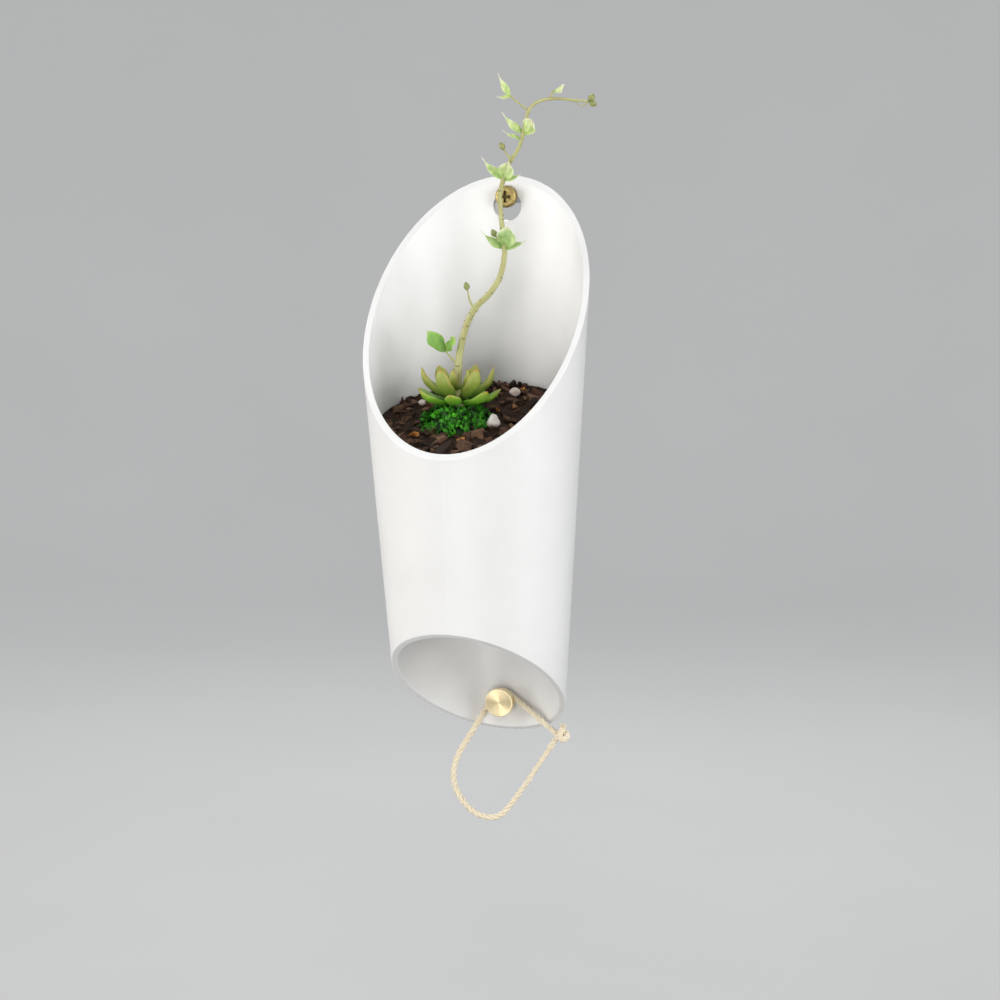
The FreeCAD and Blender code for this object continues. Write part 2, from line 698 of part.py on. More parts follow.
# Leaves on the shoots and in three clusters up the stalk: place, heading, upper side, kind, curl and size,
# which is a share of the kind's size. A place is a shoot, whose end carries the leaf, or a share of the
# stalk's length.
THIN, BROAD, PAIRED, BRACT = "thin_leaf", "broad_leaf", "shoot_leaf", "bract"
LEAF_SITES = {
    "shoot_leaves": [
        ("lower", (-6.4, -1.0, 6.0), (0.4, -1.0, 0.6), PAIRED, 25.0, 1.0),
        ("lower", (5.0, -0.6, 4.6), (-0.3, -1.0, 0.6), PAIRED, 30.0, 0.72),
    ],
    "stalk_leaves_low": [
        (0.43, (-8.0, -1.2, 4.2), (0.45, -0.75, 0.8), THIN, 38.0, 1.0),
        (0.43, (8.6, -1.4, 0.8), (-0.1, -0.75, 0.8), THIN, 38.0, 0.95),
        (0.432, (1.8, -2.7, 8.8), (0.0, -1.0, -0.1), BROAD, 10.0, 1.0),
    ],
    "stalk_leaves_middle": [
        (0.622, (-7.4, -1.4, 5.0), (0.45, -0.75, 0.8), THIN, 38.0, 1.05),
        (0.622, (7.4, -1.2, 0.6), (-0.1, -0.8, 0.75), THIN, 38.0, 0.76),
        (0.624, (2.6, -1.6, 6.0), (0.0, -1.0, -0.2), BROAD, 15.0, 0.8),
    ],
    "stalk_leaves_high": [
        (0.76, (-7.4, -1.0, 4.8), (0.45, -0.75, 0.8), THIN, 38.0, 1.0),
        (0.746, (-6.6, -1.6, -0.3), (0.2, -0.6, 1.0), THIN, 50.0, 0.7),
        (0.757, (3.6, -1.9, 5.8), (-0.2, -1.0, 0.0), BROAD, 15.0, 0.8),
    ],
    "tip_leaves": [
        ("left", (-4.4, -0.5, 6.0), (0.7, -0.6, 0.5), THIN, 20.0, 0.88),
        ("left", (-5.6, -0.2, -1.0), (0.0, -0.7, 0.7), BRACT, 25.0, 1.05),
        ("right", (4.4, -0.4, 1.6), (-0.2, -0.6, 0.8), BROAD, 20.0, 0.5),
    ],
}
# Buds: a shoot that carries one at its end or a share of the stalk's length, and the way each points.
BUD_SITES = [
    ("bud_low", (-0.2, -0.1, 1.0)),
    ("bud_side", (-0.5, -0.1, 1.0)),
    ("bud_middle", (-0.5, -0.1, 1.0)),
    (1, (0.7, 0.0, 1.0)),
    (1, (1.0, 0.0, -0.45)),
]
# How wide a bud is along its height, as shares of its length and of its width.
BUD_OUTLINE = ((0.0, 0.3), (0.25, 0.85), (0.55, 1.0), (0.85, 0.7), (1.0, 0.25))


def from_crown(point):
    """A place given from the top of the crown."""
    return Vector(number("plant_across"), -number("plant_depth"), number("crown_top_z")) + Vector(*point)


def make_bud(foot, heading):
    """A small rounded bud that stands on its foot."""
    heading = Vector(heading).normalize()
    side = heading.cross(Vector(0, 1, 0)).normalize()
    length = number("bud_length")
    wires = []
    for along, wide in BUD_OUTLINE:
        radius = number("bud_diameter / 2") * wide
        wires.append(ring(foot + heading * (length * along), side, side.cross(heading), radius))
    return Part.makeLoft(wires, True, True)


def make_flower_stem():
    """The stalk, its side shoots, and the leaves and buds that they carry."""
    radii = (number("stalk_base_diameter / 2"), number("stalk_tip_diameter / 2"))
    stalk = Stem([from_crown(point) for point in STALK_ROUTE], *radii)
    shoot_radius = number("shoot_diameter / 2")
    shoots = {}
    for name, (share, route) in SHOOT_ROUTES.items():
        points = [from_crown(point) for point in route]
        foot = stalk.seat(share, points[0] - stalk.at(share)[0], shoot_radius)
        shoots[name] = Stem([foot] + points, shoot_radius, shoot_radius)

    def seat(place, heading, depth):
        if place in shoots:
            return shoots[place].seat(1, Vector(*heading), depth)
        return stalk.seat(place, Vector(*heading), depth)

    nodes = [group("flower_stalk", [stalk.solid()])]
    nodes.append(group("side_shoots", [shoot.solid() for shoot in shoots.values()]))
    thickness = number("stalk_leaf_thickness")
    for label, sites in LEAF_SITES.items():
        leaves = []
        for place, heading, up, kind, curl, share in sites:
            outline = BROAD_LEAF if kind in (BROAD, PAIRED) else POINTED_LEAF
            foot = seat(place, heading, LEAF_UNDER * thickness)
            length, width = (share * number(f"{kind}_{size}") for size in ("length", "width"))
            leaves.append(make_leaf(foot, Vector(*heading), Vector(*up), length, width, thickness, curl, outline))
        nodes.append(group(label, leaves))
    buds = [make_bud(seat(place, heading, 0.0), heading) for place, heading in BUD_SITES]
    nodes.append(group("flower_buds", buds))
    return nodes


def slope_frame():
    """The middle of the moss on the soil's top, and the directions across the soil, up it and away from it."""
    slope = math.radians(number("soil_slope"))
    uphill = Vector(0, math.cos(slope), math.sin(slope))
    normal = Vector(0, -math.sin(slope), math.cos(slope))
    plant = Vector(number("plant_across"), -number("plant_depth"), number("soil_at_plant"))
    return plant - uphill * number("moss_downhill"), Vector(1, 0, 0), uphill, normal


# Pebbles: the turn about the moss, the distance past the moss and the size as a share of the largest.
PEBBLE_SITES = [(-4.0, 0.5, 1.0), (66.0, 19.9, 0.9), (139.0, 12.7, 0.6), (89.5, 8.7, 0.55)]
# A pebble's outline, as shares of its height and of its radius: a foot, a wider waist and a smaller top.
PEBBLE_OUTLINE = ((0.0, 0.78), (0.4, 1.0), (0.8, 0.72), (1.0, 0.34))
PEBBLE_SIDES = 6


def pebble_places():
    """Each pebble's place across and up the slope from the moss, its radius and its height."""
    places = []
    for turn_angle, past_moss, share in PEBBLE_SITES:
        angle = math.radians(turn_angle)
        radius = share * number("pebble_radius")
        distance = number("moss_radius") + past_moss + radius
        height = share * number("pebble_height")
        places.append((distance * math.cos(angle), distance * math.sin(angle), radius, height))
    return places


def make_pebbles():
    """Small rounded stones with six sides."""
    origin, across, uphill, normal = slope_frame()
    stones = []
    for place_across, place_up, radius, height in pebble_places():
        foot = origin + across * place_across + uphill * place_up
        wires = []
        for level, reach in PEBBLE_OUTLINE:
            corners = []
            for k in range(PEBBLE_SIDES):
                angle = 2 * math.pi * k / PEBBLE_SIDES + place_up
                spoke = across * math.cos(angle) + uphill * math.sin(angle)
                corners.append(foot + normal * (level * height) + spoke * (reach * radius))
            wires.append(polygon(corners))
        stones.append(Part.makeLoft(wires, True, True))
    return group("pebbles", stones)


def fits_on_soil(place, reach):
    """Whether a piece of some reach at a place on the soil stays clear of the pot's wall."""
    lean = math.radians(number("lean"))
    axis = Vector(0, -math.sin(lean), math.cos(lean))
    offset = place - Vector(0, number("centre_y"), number("centre_z"))
    height = offset.dot(axis)
    distance = (offset - axis * height).Length
    return distance + reach < number("inner_radius") + height * math.tan(lean)


# A bark chip's five corners as shares of its reach, its width as a share of its length, how far it slants,
# and how its height runs from the lowest chip to the highest.
CHIP_CORNERS = (0.92, 0.8, 0.95, 0.86, 0.78)
CHIP_WIDTH = 0.55
CHIP_SLANT = 0.3
CHIP_LOWEST, CHIP_HIGHEST = 0.7, 1.6
# Chips turn and grow by the golden section from one to the next, so that no two neighbours look alike.
GOLDEN = (math.sqrt(5) - 1) / 2


def make_chip(place, scatter):
    """A slanted five-sided bit of bark. The scatter, from 0 to 1, turns it and sets its height."""
    normal = slope_frame()[3]
    long_axis = FreeCAD.Rotation(normal, 180 * scatter).multVec(Vector(1, 0, 0))
    short_axis = normal.cross(long_axis)
    reach = number("chip_reach")
    corners = []
    for k, share in enumerate(CHIP_CORNERS):
        angle = 2 * math.pi * k / len(CHIP_CORNERS)
        spoke = long_axis * math.cos(angle) + short_axis * (CHIP_WIDTH * math.sin(angle))
        corners.append(place + spoke * (reach * share))
    height = number("chip_height") * (CHIP_LOWEST + (CHIP_HIGHEST - CHIP_LOWEST) * scatter)
    return Part.Face(polygon(corners)).extrude((normal + short_axis * CHIP_SLANT) * height)


def make_bark_chips():
    """Loose bark in staggered rows on the soil, round the moss and the pebbles."""
    origin, across, uphill, normal = slope_frame()
    reach = number("chip_reach")
    spacing = number("2 * chip_reach + chip_gap")
    taken = [(0.0, 0.0, number("moss_radius"))]
    taken += [place[:3] for place in pebble_places()]
    rows = math.ceil(number("mouth_diameter") / spacing)
    chips = []
    for row in range(-rows, rows + 1):
        for column in range(-rows, rows + 1):
            place_across = (column + 0.5 * (row % 2)) * spacing
            place_up = row * spacing * math.sqrt(3) / 2
            place = origin + across * place_across + uphill * place_up
            crowded = any(math.hypot(place_across - a, place_up - b) < r + reach for a, b, r in taken)
            if fits_on_soil(place, reach) and not crowded:
                chips.append(make_chip(place, GOLDEN * (len(chips) + 1) % 1))
    return group("bark_chips", chips)


# The cord's route from the peg's axis: across, out from the wall and up. It starts and ends in the knot.
CORD_RIGHT = [(26.5, 16.1, -9.6), (8.5, 7.5, -0.4)]
CORD_WRAP = (55.0, 147.5)
CORD_LEFT = [
    (-6.8, 6.9, -3.2), (-11.9, 9.5, -13.0), (-17.7, 12.0, -22.8), (-19.9, 13.2, -32.3), (-16.4, 14.0, -40.9),
    (-9.4, 14.6, -47.2), (-0.9, 14.8, -48.7), (6.3, 14.8, -43.6), (25.9, 16.4, -12.8),
]
KNOT_CENTRE = (28.3, 16.6, -10.4)
# The axis of the knot's turn, and where its tail starts from the knot's centre, which way and how much it flares.
KNOT_AXIS = Vector(0.25, -1.0, 0.2)
TAIL_START = Vector(-0.6, -0.4, 0.6)
TAIL_HEADING = Vector(0.12, 0.05, 1.0)
TAIL_FLARE = 1.15


def from_peg(point):
    """A place given from the peg's axis at the wall: across, out from the wall and up."""
    across, out, up = point
    return Vector(across, -out, number("peg_z") + up)


def cord_points():
    """The whole route: down from the knot to the peg, over its neck, and round the loop back to the knot."""
    bend = number("peg_neck_diameter / 2 + cord_diameter / 2 + cord_clearance")
    start, end = (math.radians(angle) for angle in CORD_WRAP)
    step = (end - start) / 4
    reach = bend / math.cos(step)
    over_neck = []
    for angle in (start + step, end - step):
        over_neck.append((reach * math.cos(angle), number("neck_middle"), reach * math.sin(angle)))
    return [from_peg(point) for point in CORD_RIGHT + over_neck + CORD_LEFT]


def make_knot():
    """The knot that closes the loop: one tight turn of the cord, and a short tail that stands up from it."""
    radius = number("cord_diameter / 2")
    centre = from_peg(KNOT_CENTRE)
    tight_turn = Part.makeTorus(number("knot_radius"), radius, centre, KNOT_AXIS)
    middle = Part.makeSphere(radius, centre)
    tail = Part.makeCone(radius, radius * TAIL_FLARE, number("knot_tail"), centre + TAIL_START, TAIL_HEADING)
    return group("loop_knot", [tight_turn.fuse([middle, tail]).removeSplitter()])


def make_cord(knot):
    radius = number("cord_diameter / 2")
    points = cord_points()
    path, radii = rounded_path(points)
    section = Part.Wire([Part.Circle(points[0], points[1] - points[0], radius).toShape()])
    tube = path.makePipeShell([section], True, False)
    plain_volume = math.pi * radius ** 2 * path.Length
    print("cord length", round(path.Length, 1), "volume share", round(tube.Volume / plain_volume, 4))
    print("cord radii", [round(value, 1) for value in radii])
    return group("loop_cord", [tube.cut(knot.Shape)])


def main():
    nodes = [make_shell(), make_wall_screw(), make_wall_plug(), make_key_peg(), make_peg_washer(), make_peg_screw()]
    nodes += [make_soil(), make_moss(), make_crown(), make_pebbles(), make_bark_chips()]
    nodes += [make_rosette_ring(name) for name in ROSETTE_COUNTS]
    nodes += make_flower_stem()
    knot = make_knot()
    nodes += [knot, make_cord(knot)]
    doc.recompute()
    for thing in doc.Objects:
        if "Invalid" in thing.State or "Error" in thing.State:
            raise RuntimeError(f"{thing.Label} failed: {thing.State}")
    for node in nodes:
        if node.Shape.isNull() or not node.Shape.isValid() or not node.Shape.Solids:
            raise RuntimeError(node.Label + " has no valid solid")
    os.makedirs("parts", exist_ok=True)
    for node in nodes:
        node.Shape.exportStep(f"parts/{node.Label}.step")


main()
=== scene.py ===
"""Looks of a ceramic wall planter with a flowering succulent, a brass peg and a cord loop."""

import math
import random

import bmesh
import bpy
import numpy as np
from mathutils import Matrix, Vector, noise
from mathutils.bvhtree import BVHTree


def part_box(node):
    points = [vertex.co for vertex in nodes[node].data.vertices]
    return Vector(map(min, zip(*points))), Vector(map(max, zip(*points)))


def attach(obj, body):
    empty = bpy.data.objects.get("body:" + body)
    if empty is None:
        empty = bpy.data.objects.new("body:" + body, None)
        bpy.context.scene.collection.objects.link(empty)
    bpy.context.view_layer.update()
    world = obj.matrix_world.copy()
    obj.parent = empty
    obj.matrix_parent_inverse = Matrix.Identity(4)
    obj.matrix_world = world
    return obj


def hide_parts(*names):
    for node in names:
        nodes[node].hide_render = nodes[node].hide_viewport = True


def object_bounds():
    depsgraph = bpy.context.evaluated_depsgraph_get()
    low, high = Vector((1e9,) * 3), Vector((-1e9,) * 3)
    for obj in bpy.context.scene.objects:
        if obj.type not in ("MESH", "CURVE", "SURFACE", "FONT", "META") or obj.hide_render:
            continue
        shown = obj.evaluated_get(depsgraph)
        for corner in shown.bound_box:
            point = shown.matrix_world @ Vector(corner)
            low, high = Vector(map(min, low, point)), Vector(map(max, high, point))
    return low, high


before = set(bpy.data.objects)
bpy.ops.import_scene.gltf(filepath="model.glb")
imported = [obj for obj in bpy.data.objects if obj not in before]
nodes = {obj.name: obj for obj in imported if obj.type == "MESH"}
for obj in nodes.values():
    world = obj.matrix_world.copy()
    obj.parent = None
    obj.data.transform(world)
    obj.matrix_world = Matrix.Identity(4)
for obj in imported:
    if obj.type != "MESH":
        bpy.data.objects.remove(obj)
cad_low, cad_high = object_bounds()
scene = bpy.context.scene
MM = 0.001


def mm(x, y, z):
    return Vector((x, y, z)) * MM


def show(name, data):
    made = bpy.data.objects.new(name, data)
    scene.collection.objects.link(made)
    return made


# Camera, at the photograph's viewing angle.

CAMERA_TARGET = mm(11.513, -45.0, -117.94)
CAMERA_AZIMUTH, CAMERA_ELEVATION, CAMERA_ROLL = (math.radians(angle) for angle in (18.57, 8.34, 0.22))
CAMERA_DISTANCE = 1.0
CAMERA_LENS = 91.14


def make_camera():
    away = Vector((
        math.sin(CAMERA_AZIMUTH) * math.cos(CAMERA_ELEVATION),
        -math.cos(CAMERA_AZIMUTH) * math.cos(CAMERA_ELEVATION),
        math.sin(CAMERA_ELEVATION),
    ))
    data = bpy.data.cameras.new("camera")
    data.lens = CAMERA_LENS
    data.sensor_width = 36.0
    data.clip_start = 0.01
    data.clip_end = 50.0
    camera = show("camera", data)
    camera.rotation_mode = "QUATERNION"
    camera.location = CAMERA_TARGET + away * CAMERA_DISTANCE
    turn = Matrix.Rotation(CAMERA_ROLL, 3, "Z").to_quaternion()
    camera.rotation_quaternion = (-away).to_track_quat("-Z", "Y") @ turn
    scene.camera = camera


# Materials: each has one Principled shader, with colour, roughness and bump from textures in metres.

class Look:
    """A material under construction."""

    def __init__(self, name, **sockets):
        self.material = bpy.data.materials.new(name)
        self.material.use_nodes = True
        self.tree = self.material.node_tree
        self.shader = self.tree.nodes["Principled BSDF"]
        self.place = self.tree.nodes.new("ShaderNodeTexCoord").outputs["Object"]
        self.feed(self.shader, sockets)

    def feed(self, node, sockets):
        """Links a node's sockets, by name or place, to those of other nodes, or sets them."""
        for name, value in sockets.items():
            socket = node.inputs[name.replace("_", " ") if isinstance(name, str) else name]
            if isinstance(value, bpy.types.NodeSocket):
                self.tree.links.new(value, socket)
            else:
                socket.default_value = value

    def node(self, kind, settings=(), **sockets):
        made = self.tree.nodes.new(kind)
        for name, value in dict(settings).items():
            setattr(made, name, value)
        self.feed(made, sockets)
        return made

    def grain(self, scale):
        """The grain that the mesh carries at its points, with each axis counted in its own scale."""
        carried = self.node("ShaderNodeAttribute", {"attribute_name": "grain"}).outputs["Vector"]
        return self.node("ShaderNodeMapping", Vector=carried, Scale=scale).outputs["Vector"]

    def noise(self, scale, detail=4.0, roughness=0.55, distortion=0.0, place=None):
        made = self.node(
            "ShaderNodeTexNoise", Vector=place or self.place, Scale=scale, Detail=detail, Roughness=roughness,
            Distortion=distortion,
        )
        return made.outputs["Fac"]

    def cells(self, scale):
        return self.node("ShaderNodeTexVoronoi", Vector=self.place, Scale=scale).outputs["Distance"]

    def value(self, name):
        """A value that the mesh carries at its points."""
        return self.node("ShaderNodeAttribute", {"attribute_name": name}).outputs["Fac"]

    def ramp(self, factor, *stops):
        """A colour that follows a factor. A stop is a place from 0 to 1, and red, green and blue."""
        made = self.node("ShaderNodeValToRGB", Fac=factor)
        elements = made.color_ramp.elements
        while len(elements) < len(stops):
            elements.new(0.5)
        for element, (position, *colour) in zip(elements, stops):
            element.position = position
            element.color = (*colour, 1.0)
        return made.outputs["Color"]

    def spread(self, factor, low, high):
        """A factor from 0 to 1 laid out between two values."""
        return self.node("ShaderNodeMapRange", Value=factor, To_Min=low, To_Max=high).outputs["Result"]

    def mix(self, factor, first, second, blend="MIX"):
        made = self.node("ShaderNodeMix", {"data_type": "RGBA", "blend_type": blend})
        if isinstance(second, tuple):
            second = (*second, 1.0)
        self.feed(made, {0: factor, 6: first, 7: second})
        return made.outputs[2]

    def sum(self, first, second, operation="ADD"):
        made = self.node("ShaderNodeMath", {"operation": operation})
        self.feed(made, {0: first, 1: second})
        return made.outputs["Value"]

    def bump(self, height, strength, distance, **under):
        made = self.node("ShaderNodeBump", Height=height, Strength=strength, Distance=distance, **under)
        return made.outputs["Normal"]

    def finish(self, colour, worn, roughness, skin, **links):
        """The material, with a roughness between two values that follows where it is worn."""
        rough = self.spread(worn, *roughness)
        self.feed(self.shader, dict(links, Base_Color=colour, Roughness=rough, Normal=skin))
        return self.material


def ceramic_look():
    look = Look("ceramic", Coat_Weight=0.18, Coat_Roughness=0.22, Specular_IOR_Level=0.45)
    cloud = look.noise(28.0, 3.0)
    colour = look.ramp(cloud, (0.3, 0.80, 0.795, 0.78), (0.7, 0.855, 0.85, 0.84))
    speck = look.ramp(look.cells(700.0), (0.035, 0.80, 0.77, 0.72), (0.06, 1.0, 1.0, 1.0))
    colour = look.mix(0.35, colour, speck, "MULTIPLY")
    skin = look.bump(look.noise(900.0, 2.0), 0.05, 0.0003)
    skin = look.bump(look.noise(55.0, 2.0), 0.10, 0.0008, Normal=skin)
    return look.finish(colour, look.noise(160.0), (0.34, 0.48), skin)


def brass_look(name, place, ring_scale, roughness, anisotropic, stops, recess=None):
    """Turned brass: fine rings about an axis along Y through the given place.

    A recess, given by its depth along Y and its reach, carries painted shade: it is coloured dark.
    """
    look = Look(name, Metallic=1.0, Anisotropic=anisotropic)
    centred = look.node("ShaderNodeMapping", Vector=look.place, Location=-place).outputs["Vector"]
    tangent = look.node("ShaderNodeTangent", {"direction_type": "RADIAL", "axis": "Y"}).outputs["Tangent"]
    rings = look.node(
        "ShaderNodeTexWave", {"wave_type": "RINGS", "rings_direction": "Y"}, Vector=centred, Scale=ring_scale,
        Distortion=0.6, Detail=2.0,
    ).outputs["Fac"]
    patina = look.noise(1100.0, 5.0)
    colour = look.ramp(patina, *stops)
    if recess is not None:
        # Painted shade: points deeper than the head's face and near the axis get a dark colour, as if shaded in
        # the recess.
        depth, reach = recess
        parts = look.node("ShaderNodeSeparateXYZ", Vector=centred).outputs
        squares = [look.sum(parts[axis], parts[axis], "MULTIPLY") for axis in ("X", "Z")]
        near = look.sum(look.sum(*squares), reach ** 2, "LESS_THAN")
        recess_shade = look.sum(look.sum(parts["Y"], depth, "GREATER_THAN"), near, "MULTIPLY")
        colour = look.mix(recess_shade, colour, (0.10, 0.075, 0.03))
    skin = look.bump(rings, 0.05, 0.0001)
    worn = look.sum(rings, patina, "MULTIPLY")
    return look.finish(colour, worn, (roughness, roughness + 0.16), skin, Tangent=tangent)


def steel_look():
    look = Look("steel", Metallic=1.0)
    haze = look.noise(600.0, 4.0)
    colour = look.ramp(haze, (0.3, 0.42, 0.42, 0.43), (0.8, 0.62, 0.62, 0.61))
    return look.finish(colour, haze, (0.28, 0.5), look.bump(haze, 0.1, 0.0001))


def plastic_look(name, dark, light, roughness):
    look = Look(name)
    grain = look.noise(500.0, 3.0)
    colour = look.ramp(look.noise(90.0, 3.0), (0.3, *dark), (0.75, *light))
    return look.finish(colour, grain, (roughness, roughness + 0.15), look.bump(grain, 0.15, 0.0001))


def cord_look():
    look = Look("cord", Sheen_Weight=0.35, Sheen_Roughness=0.5)
    fibre = look.noise(1.0, 5.0, 0.6, place=look.grain((26.0, 26.0, 0.4)))
    soil = look.noise(120.0, 3.0)
    colour = look.ramp(fibre, (0.25, 0.60, 0.48, 0.31), (0.5, 0.83, 0.73, 0.54), (0.8, 0.90, 0.83, 0.67))
    colour = look.mix(look.spread(soil, 0.0, 0.35), colour, (0.86, 0.78, 0.62))
    return look.finish(colour, fibre, (0.75, 0.95), look.bump(fibre, 0.55, 0.0002))


def soil_look():
    look = Look("soil", Specular_IOR_Level=0.25)
    grit = look.noise(700.0, 6.0, 0.65)
    colour = look.ramp(
        grit, (0.3, 0.012, 0.007, 0.005), (0.55, 0.045, 0.024, 0.014), (0.8, 0.10, 0.055, 0.03),
    )
    skin = look.bump(grit, 0.9, 0.0008)
    skin = look.bump(look.cells(420.0), 0.6, 0.001, Normal=skin)
    return look.finish(colour, grit, (0.8, 1.0), skin)


def bark_look():
    look = Look("bark", Specular_IOR_Level=0.3)
    grain = look.noise(1.0, 6.0, 0.65, 0.4, look.grain((250.0, 1600.0, 1600.0)))
    fine = look.noise(1500.0, 4.0)
    tint = look.ramp(
        look.value("tint"), (0.0, 0.022, 0.012, 0.008), (0.3, 0.080, 0.038, 0.022),
        (0.65, 0.14, 0.074, 0.043), (0.9, 0.23, 0.135, 0.08), (0.97, 0.52, 0.22, 0.05),
    )
    streak = look.ramp(grain, (0.25, 0.25, 0.22, 0.20), (0.5, 0.85, 0.82, 0.8), (0.8, 1.35, 1.25, 1.15))
    colour = look.mix(1.0, tint, streak, "MULTIPLY")
    skin = look.bump(grain, 0.8, 0.0005)
    skin = look.bump(fine, 0.35, 0.0002, Normal=skin)
    return look.finish(colour, grain, (0.65, 0.95), skin)


def pebble_look():
    look = Look("pebble", Subsurface_Weight=0.12, Subsurface_Scale=0.002)
    speckle = look.noise(900.0, 5.0)
    vein = look.noise(220.0, 4.0, 0.6, 0.8)
    pale = look.ramp(
        look.value("tint"), (0.0, 0.86, 0.80, 0.73), (0.5, 0.66, 0.53, 0.47), (1.0, 0.38, 0.31, 0.27),
    )
    colour = look.mix(look.spread(vein, 0.0, 0.55), pale, (0.86, 0.83, 0.79))
    spots = look.ramp(speckle, (0.3, 0.45, 0.38, 0.33), (0.45, 1.0, 1.0, 1.0))
    colour = look.mix(0.5, colour, spots, "MULTIPLY")
    return look.finish(colour, speckle, (0.45, 0.75), look.bump(speckle, 0.25, 0.0003))


def moss_look():
    look = Look("moss", Subsurface_Weight=0.15, Subsurface_Scale=0.001, Subsurface_Radius=(0.4, 1.0, 0.2))
    patch = look.noise(260.0, 3.0)
    shade = look.ramp(
        patch, (0.38, 0.003, 0.02, 0.001), (0.5, 0.022, 0.19, 0.003), (0.64, 0.07, 0.42, 0.008),
    )
    # Painted shade: the colour darkens towards the foot of each leaflet and to nearly black on the mat under them,
    # where shade falls, and grows paler towards the tips.
    along = look.value("along")
    tip = look.ramp(along, (0.0, 0.14, 0.14, 0.14), (0.6, 0.9, 0.9, 0.9), (1.0, 1.8, 1.6, 1.1))
    colour = look.mix(1.0, shade, tip, "MULTIPLY")
    grain = look.noise(1800.0, 3.0)
    return look.finish(colour, grain, (0.55, 0.8), look.bump(grain, 0.4, 0.0002))


def leaf_look(name, stops, blush, rim_reach, vein_depth, mottle=0.0):
    """A leaf: its colour runs along it, is flecked and mottled, and pales or reddens at its edge and tip."""
    look = Look(
        name, Subsurface_Weight=0.22, Subsurface_Scale=0.0015, Subsurface_Radius=(0.5, 1.0, 0.25),
        Coat_Weight=0.08, Coat_Roughness=0.35,
    )
    along = look.value("along")
    edge = look.value("edge")
    colour = look.ramp(along, *stops)
    fleck = look.noise(650.0, 5.0, 0.6)
    flecks = look.ramp(fleck, (0.3, 0.72, 0.76, 0.6), (0.7, 1.2, 1.15, 1.05))
    colour = look.mix(0.55, colour, flecks, "MULTIPLY")
    if mottle:
        patch = look.noise(330.0, 4.0, 0.6, 0.6)
        dapple = look.ramp(
            patch, (0.36, 0.50, 0.68, 0.40), (0.5, 0.95, 0.97, 0.9), (0.66, 1.35, 1.18, 1.45),
        )
        colour = look.mix(mottle, colour, dapple, "MULTIPLY")
    tone = look.ramp(look.value("tint"), (0.0, 0.78, 0.86, 0.7), (1.0, 1.18, 1.08, 1.0))
    colour = look.mix(1.0, colour, tone, "MULTIPLY")
    rim = look.sum(look.spread(edge, -1.3, rim_reach), look.spread(along, -0.5, 0.5))
    rim = look.node("ShaderNodeClamp", Value=rim).outputs["Result"]
    colour = look.mix(rim, colour, blush)
    skin = look.bump(fleck, 0.18, 0.0003)
    veins = look.noise(1.0, 3.0, 0.5, 0.3, look.grain((2600.0, 240.0, 2600.0)))
    skin = look.bump(veins, vein_depth, 0.0003, Normal=skin)
    return look.finish(colour, fleck, (0.38, 0.6), skin)


def stalk_look():
    look = Look("stalk", Subsurface_Weight=0.15, Subsurface_Scale=0.001)
    streak = look.noise(1.0, 5.0, 0.6, 0.2, look.grain((1500.0, 1500.0, 130.0)))
    patch = look.noise(110.0, 3.0)
    colour = look.ramp(streak, (0.25, 0.27, 0.27, 0.09), (0.5, 0.46, 0.46, 0.19), (0.8, 0.62, 0.62, 0.34))
    colour = look.mix(look.spread(patch, -0.35, 0.5), colour, (0.40, 0.29, 0.14))
    colour = look.mix(look.spread(look.value("edge"), 0.0, 0.8), colour, (0.15, 0.12, 0.045))
    skin = look.bump(streak, 0.4, 0.0003)
    return look.finish(colour, streak, (0.5, 0.72), skin)


# Forms: meshes built ring by ring, with the values that their materials read.

class Form:
    """Points, faces and point values of one mesh."""

    def __init__(self, smooth=True):
        self.smooth = smooth
        self.points = []
        self.faces = []
        self.values = {}

    def set_values(self, count, values, ring=1):
        """Values for new points: one for all, or a list with one for each ring or each point."""
        for name, value in values.items():
            got = value if isinstance(value, list) else [value] * count
            if len(got) * ring == count:
                got = [part for part in got for _ in range(ring)]
            self.values.setdefault(name, []).extend(got)

    def add_rings(self, rings, capped=True, **values):
        """Closed rings, skinned one to the next."""
        first = len(self.points)
        count = len(rings[0])
        for ring in rings:
            self.points.extend(ring)
        self.set_values(count * len(rings), values, count)
        for i in range(len(rings) - 1):
            for k in range(count):
                a = first + i * count + k
                b = first + i * count + (k + 1) % count
                self.faces.append((a, b, b + count, a + count))
        if capped:
            last = first + count * (len(rings) - 1)
            self.faces.append(tuple(range(first + count - 1, first - 1, -1)))
            self.faces.append(tuple(range(last, last + count)))

    def add_faces(self, points, faces, **values):
        first = len(self.points)
        self.points.extend(points)
        self.faces.extend(tuple(first + k for k in face) for face in faces)
        self.set_values(len(points), values)

    def add_solid(self, points, work, **values):
        """The faces of a bmesh on new points."""
        work.verts.index_update()
        self.add_faces(points, [[vert.index for vert in face.verts] for face in work.faces], **values)
        work.free()

    def mesh(self, name):
        mesh = bpy.data.meshes.new(name)
        mesh.from_pydata([tuple(point) for point in self.points], [], self.faces)
        for value_name, value in self.values.items():
            kind, field = ("FLOAT_VECTOR", "vector") if isinstance(value[0], Vector) else ("FLOAT", "value")
            flat = np.array(value, np.float32).ravel()
            mesh.attributes.new(value_name, kind, "POINT").data.foreach_set(field, flat)
        work = bmesh.new()
        work.from_mesh(mesh)
        bmesh.ops.recalc_face_normals(work, faces=work.faces)
        work.to_mesh(mesh)
        work.free()
        if self.smooth:
            mesh.shade_smooth()
        return mesh


def put(name, form, look, node, body="planter"):
    """Shows a form as a piece of the part, on a body and in place of a CAD node."""
    mesh = form.mesh(name)
    mesh.materials.append(look)
    piece = show(name, mesh)
    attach(piece, body)
    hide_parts(node)
    return piece


def paint(node, look):
    """Gives a CAD node its material."""
    slots = nodes[node].material_slots
    for slot in slots:
        slot.material = look
    if not slots:
        nodes[node].data.materials.append(look)


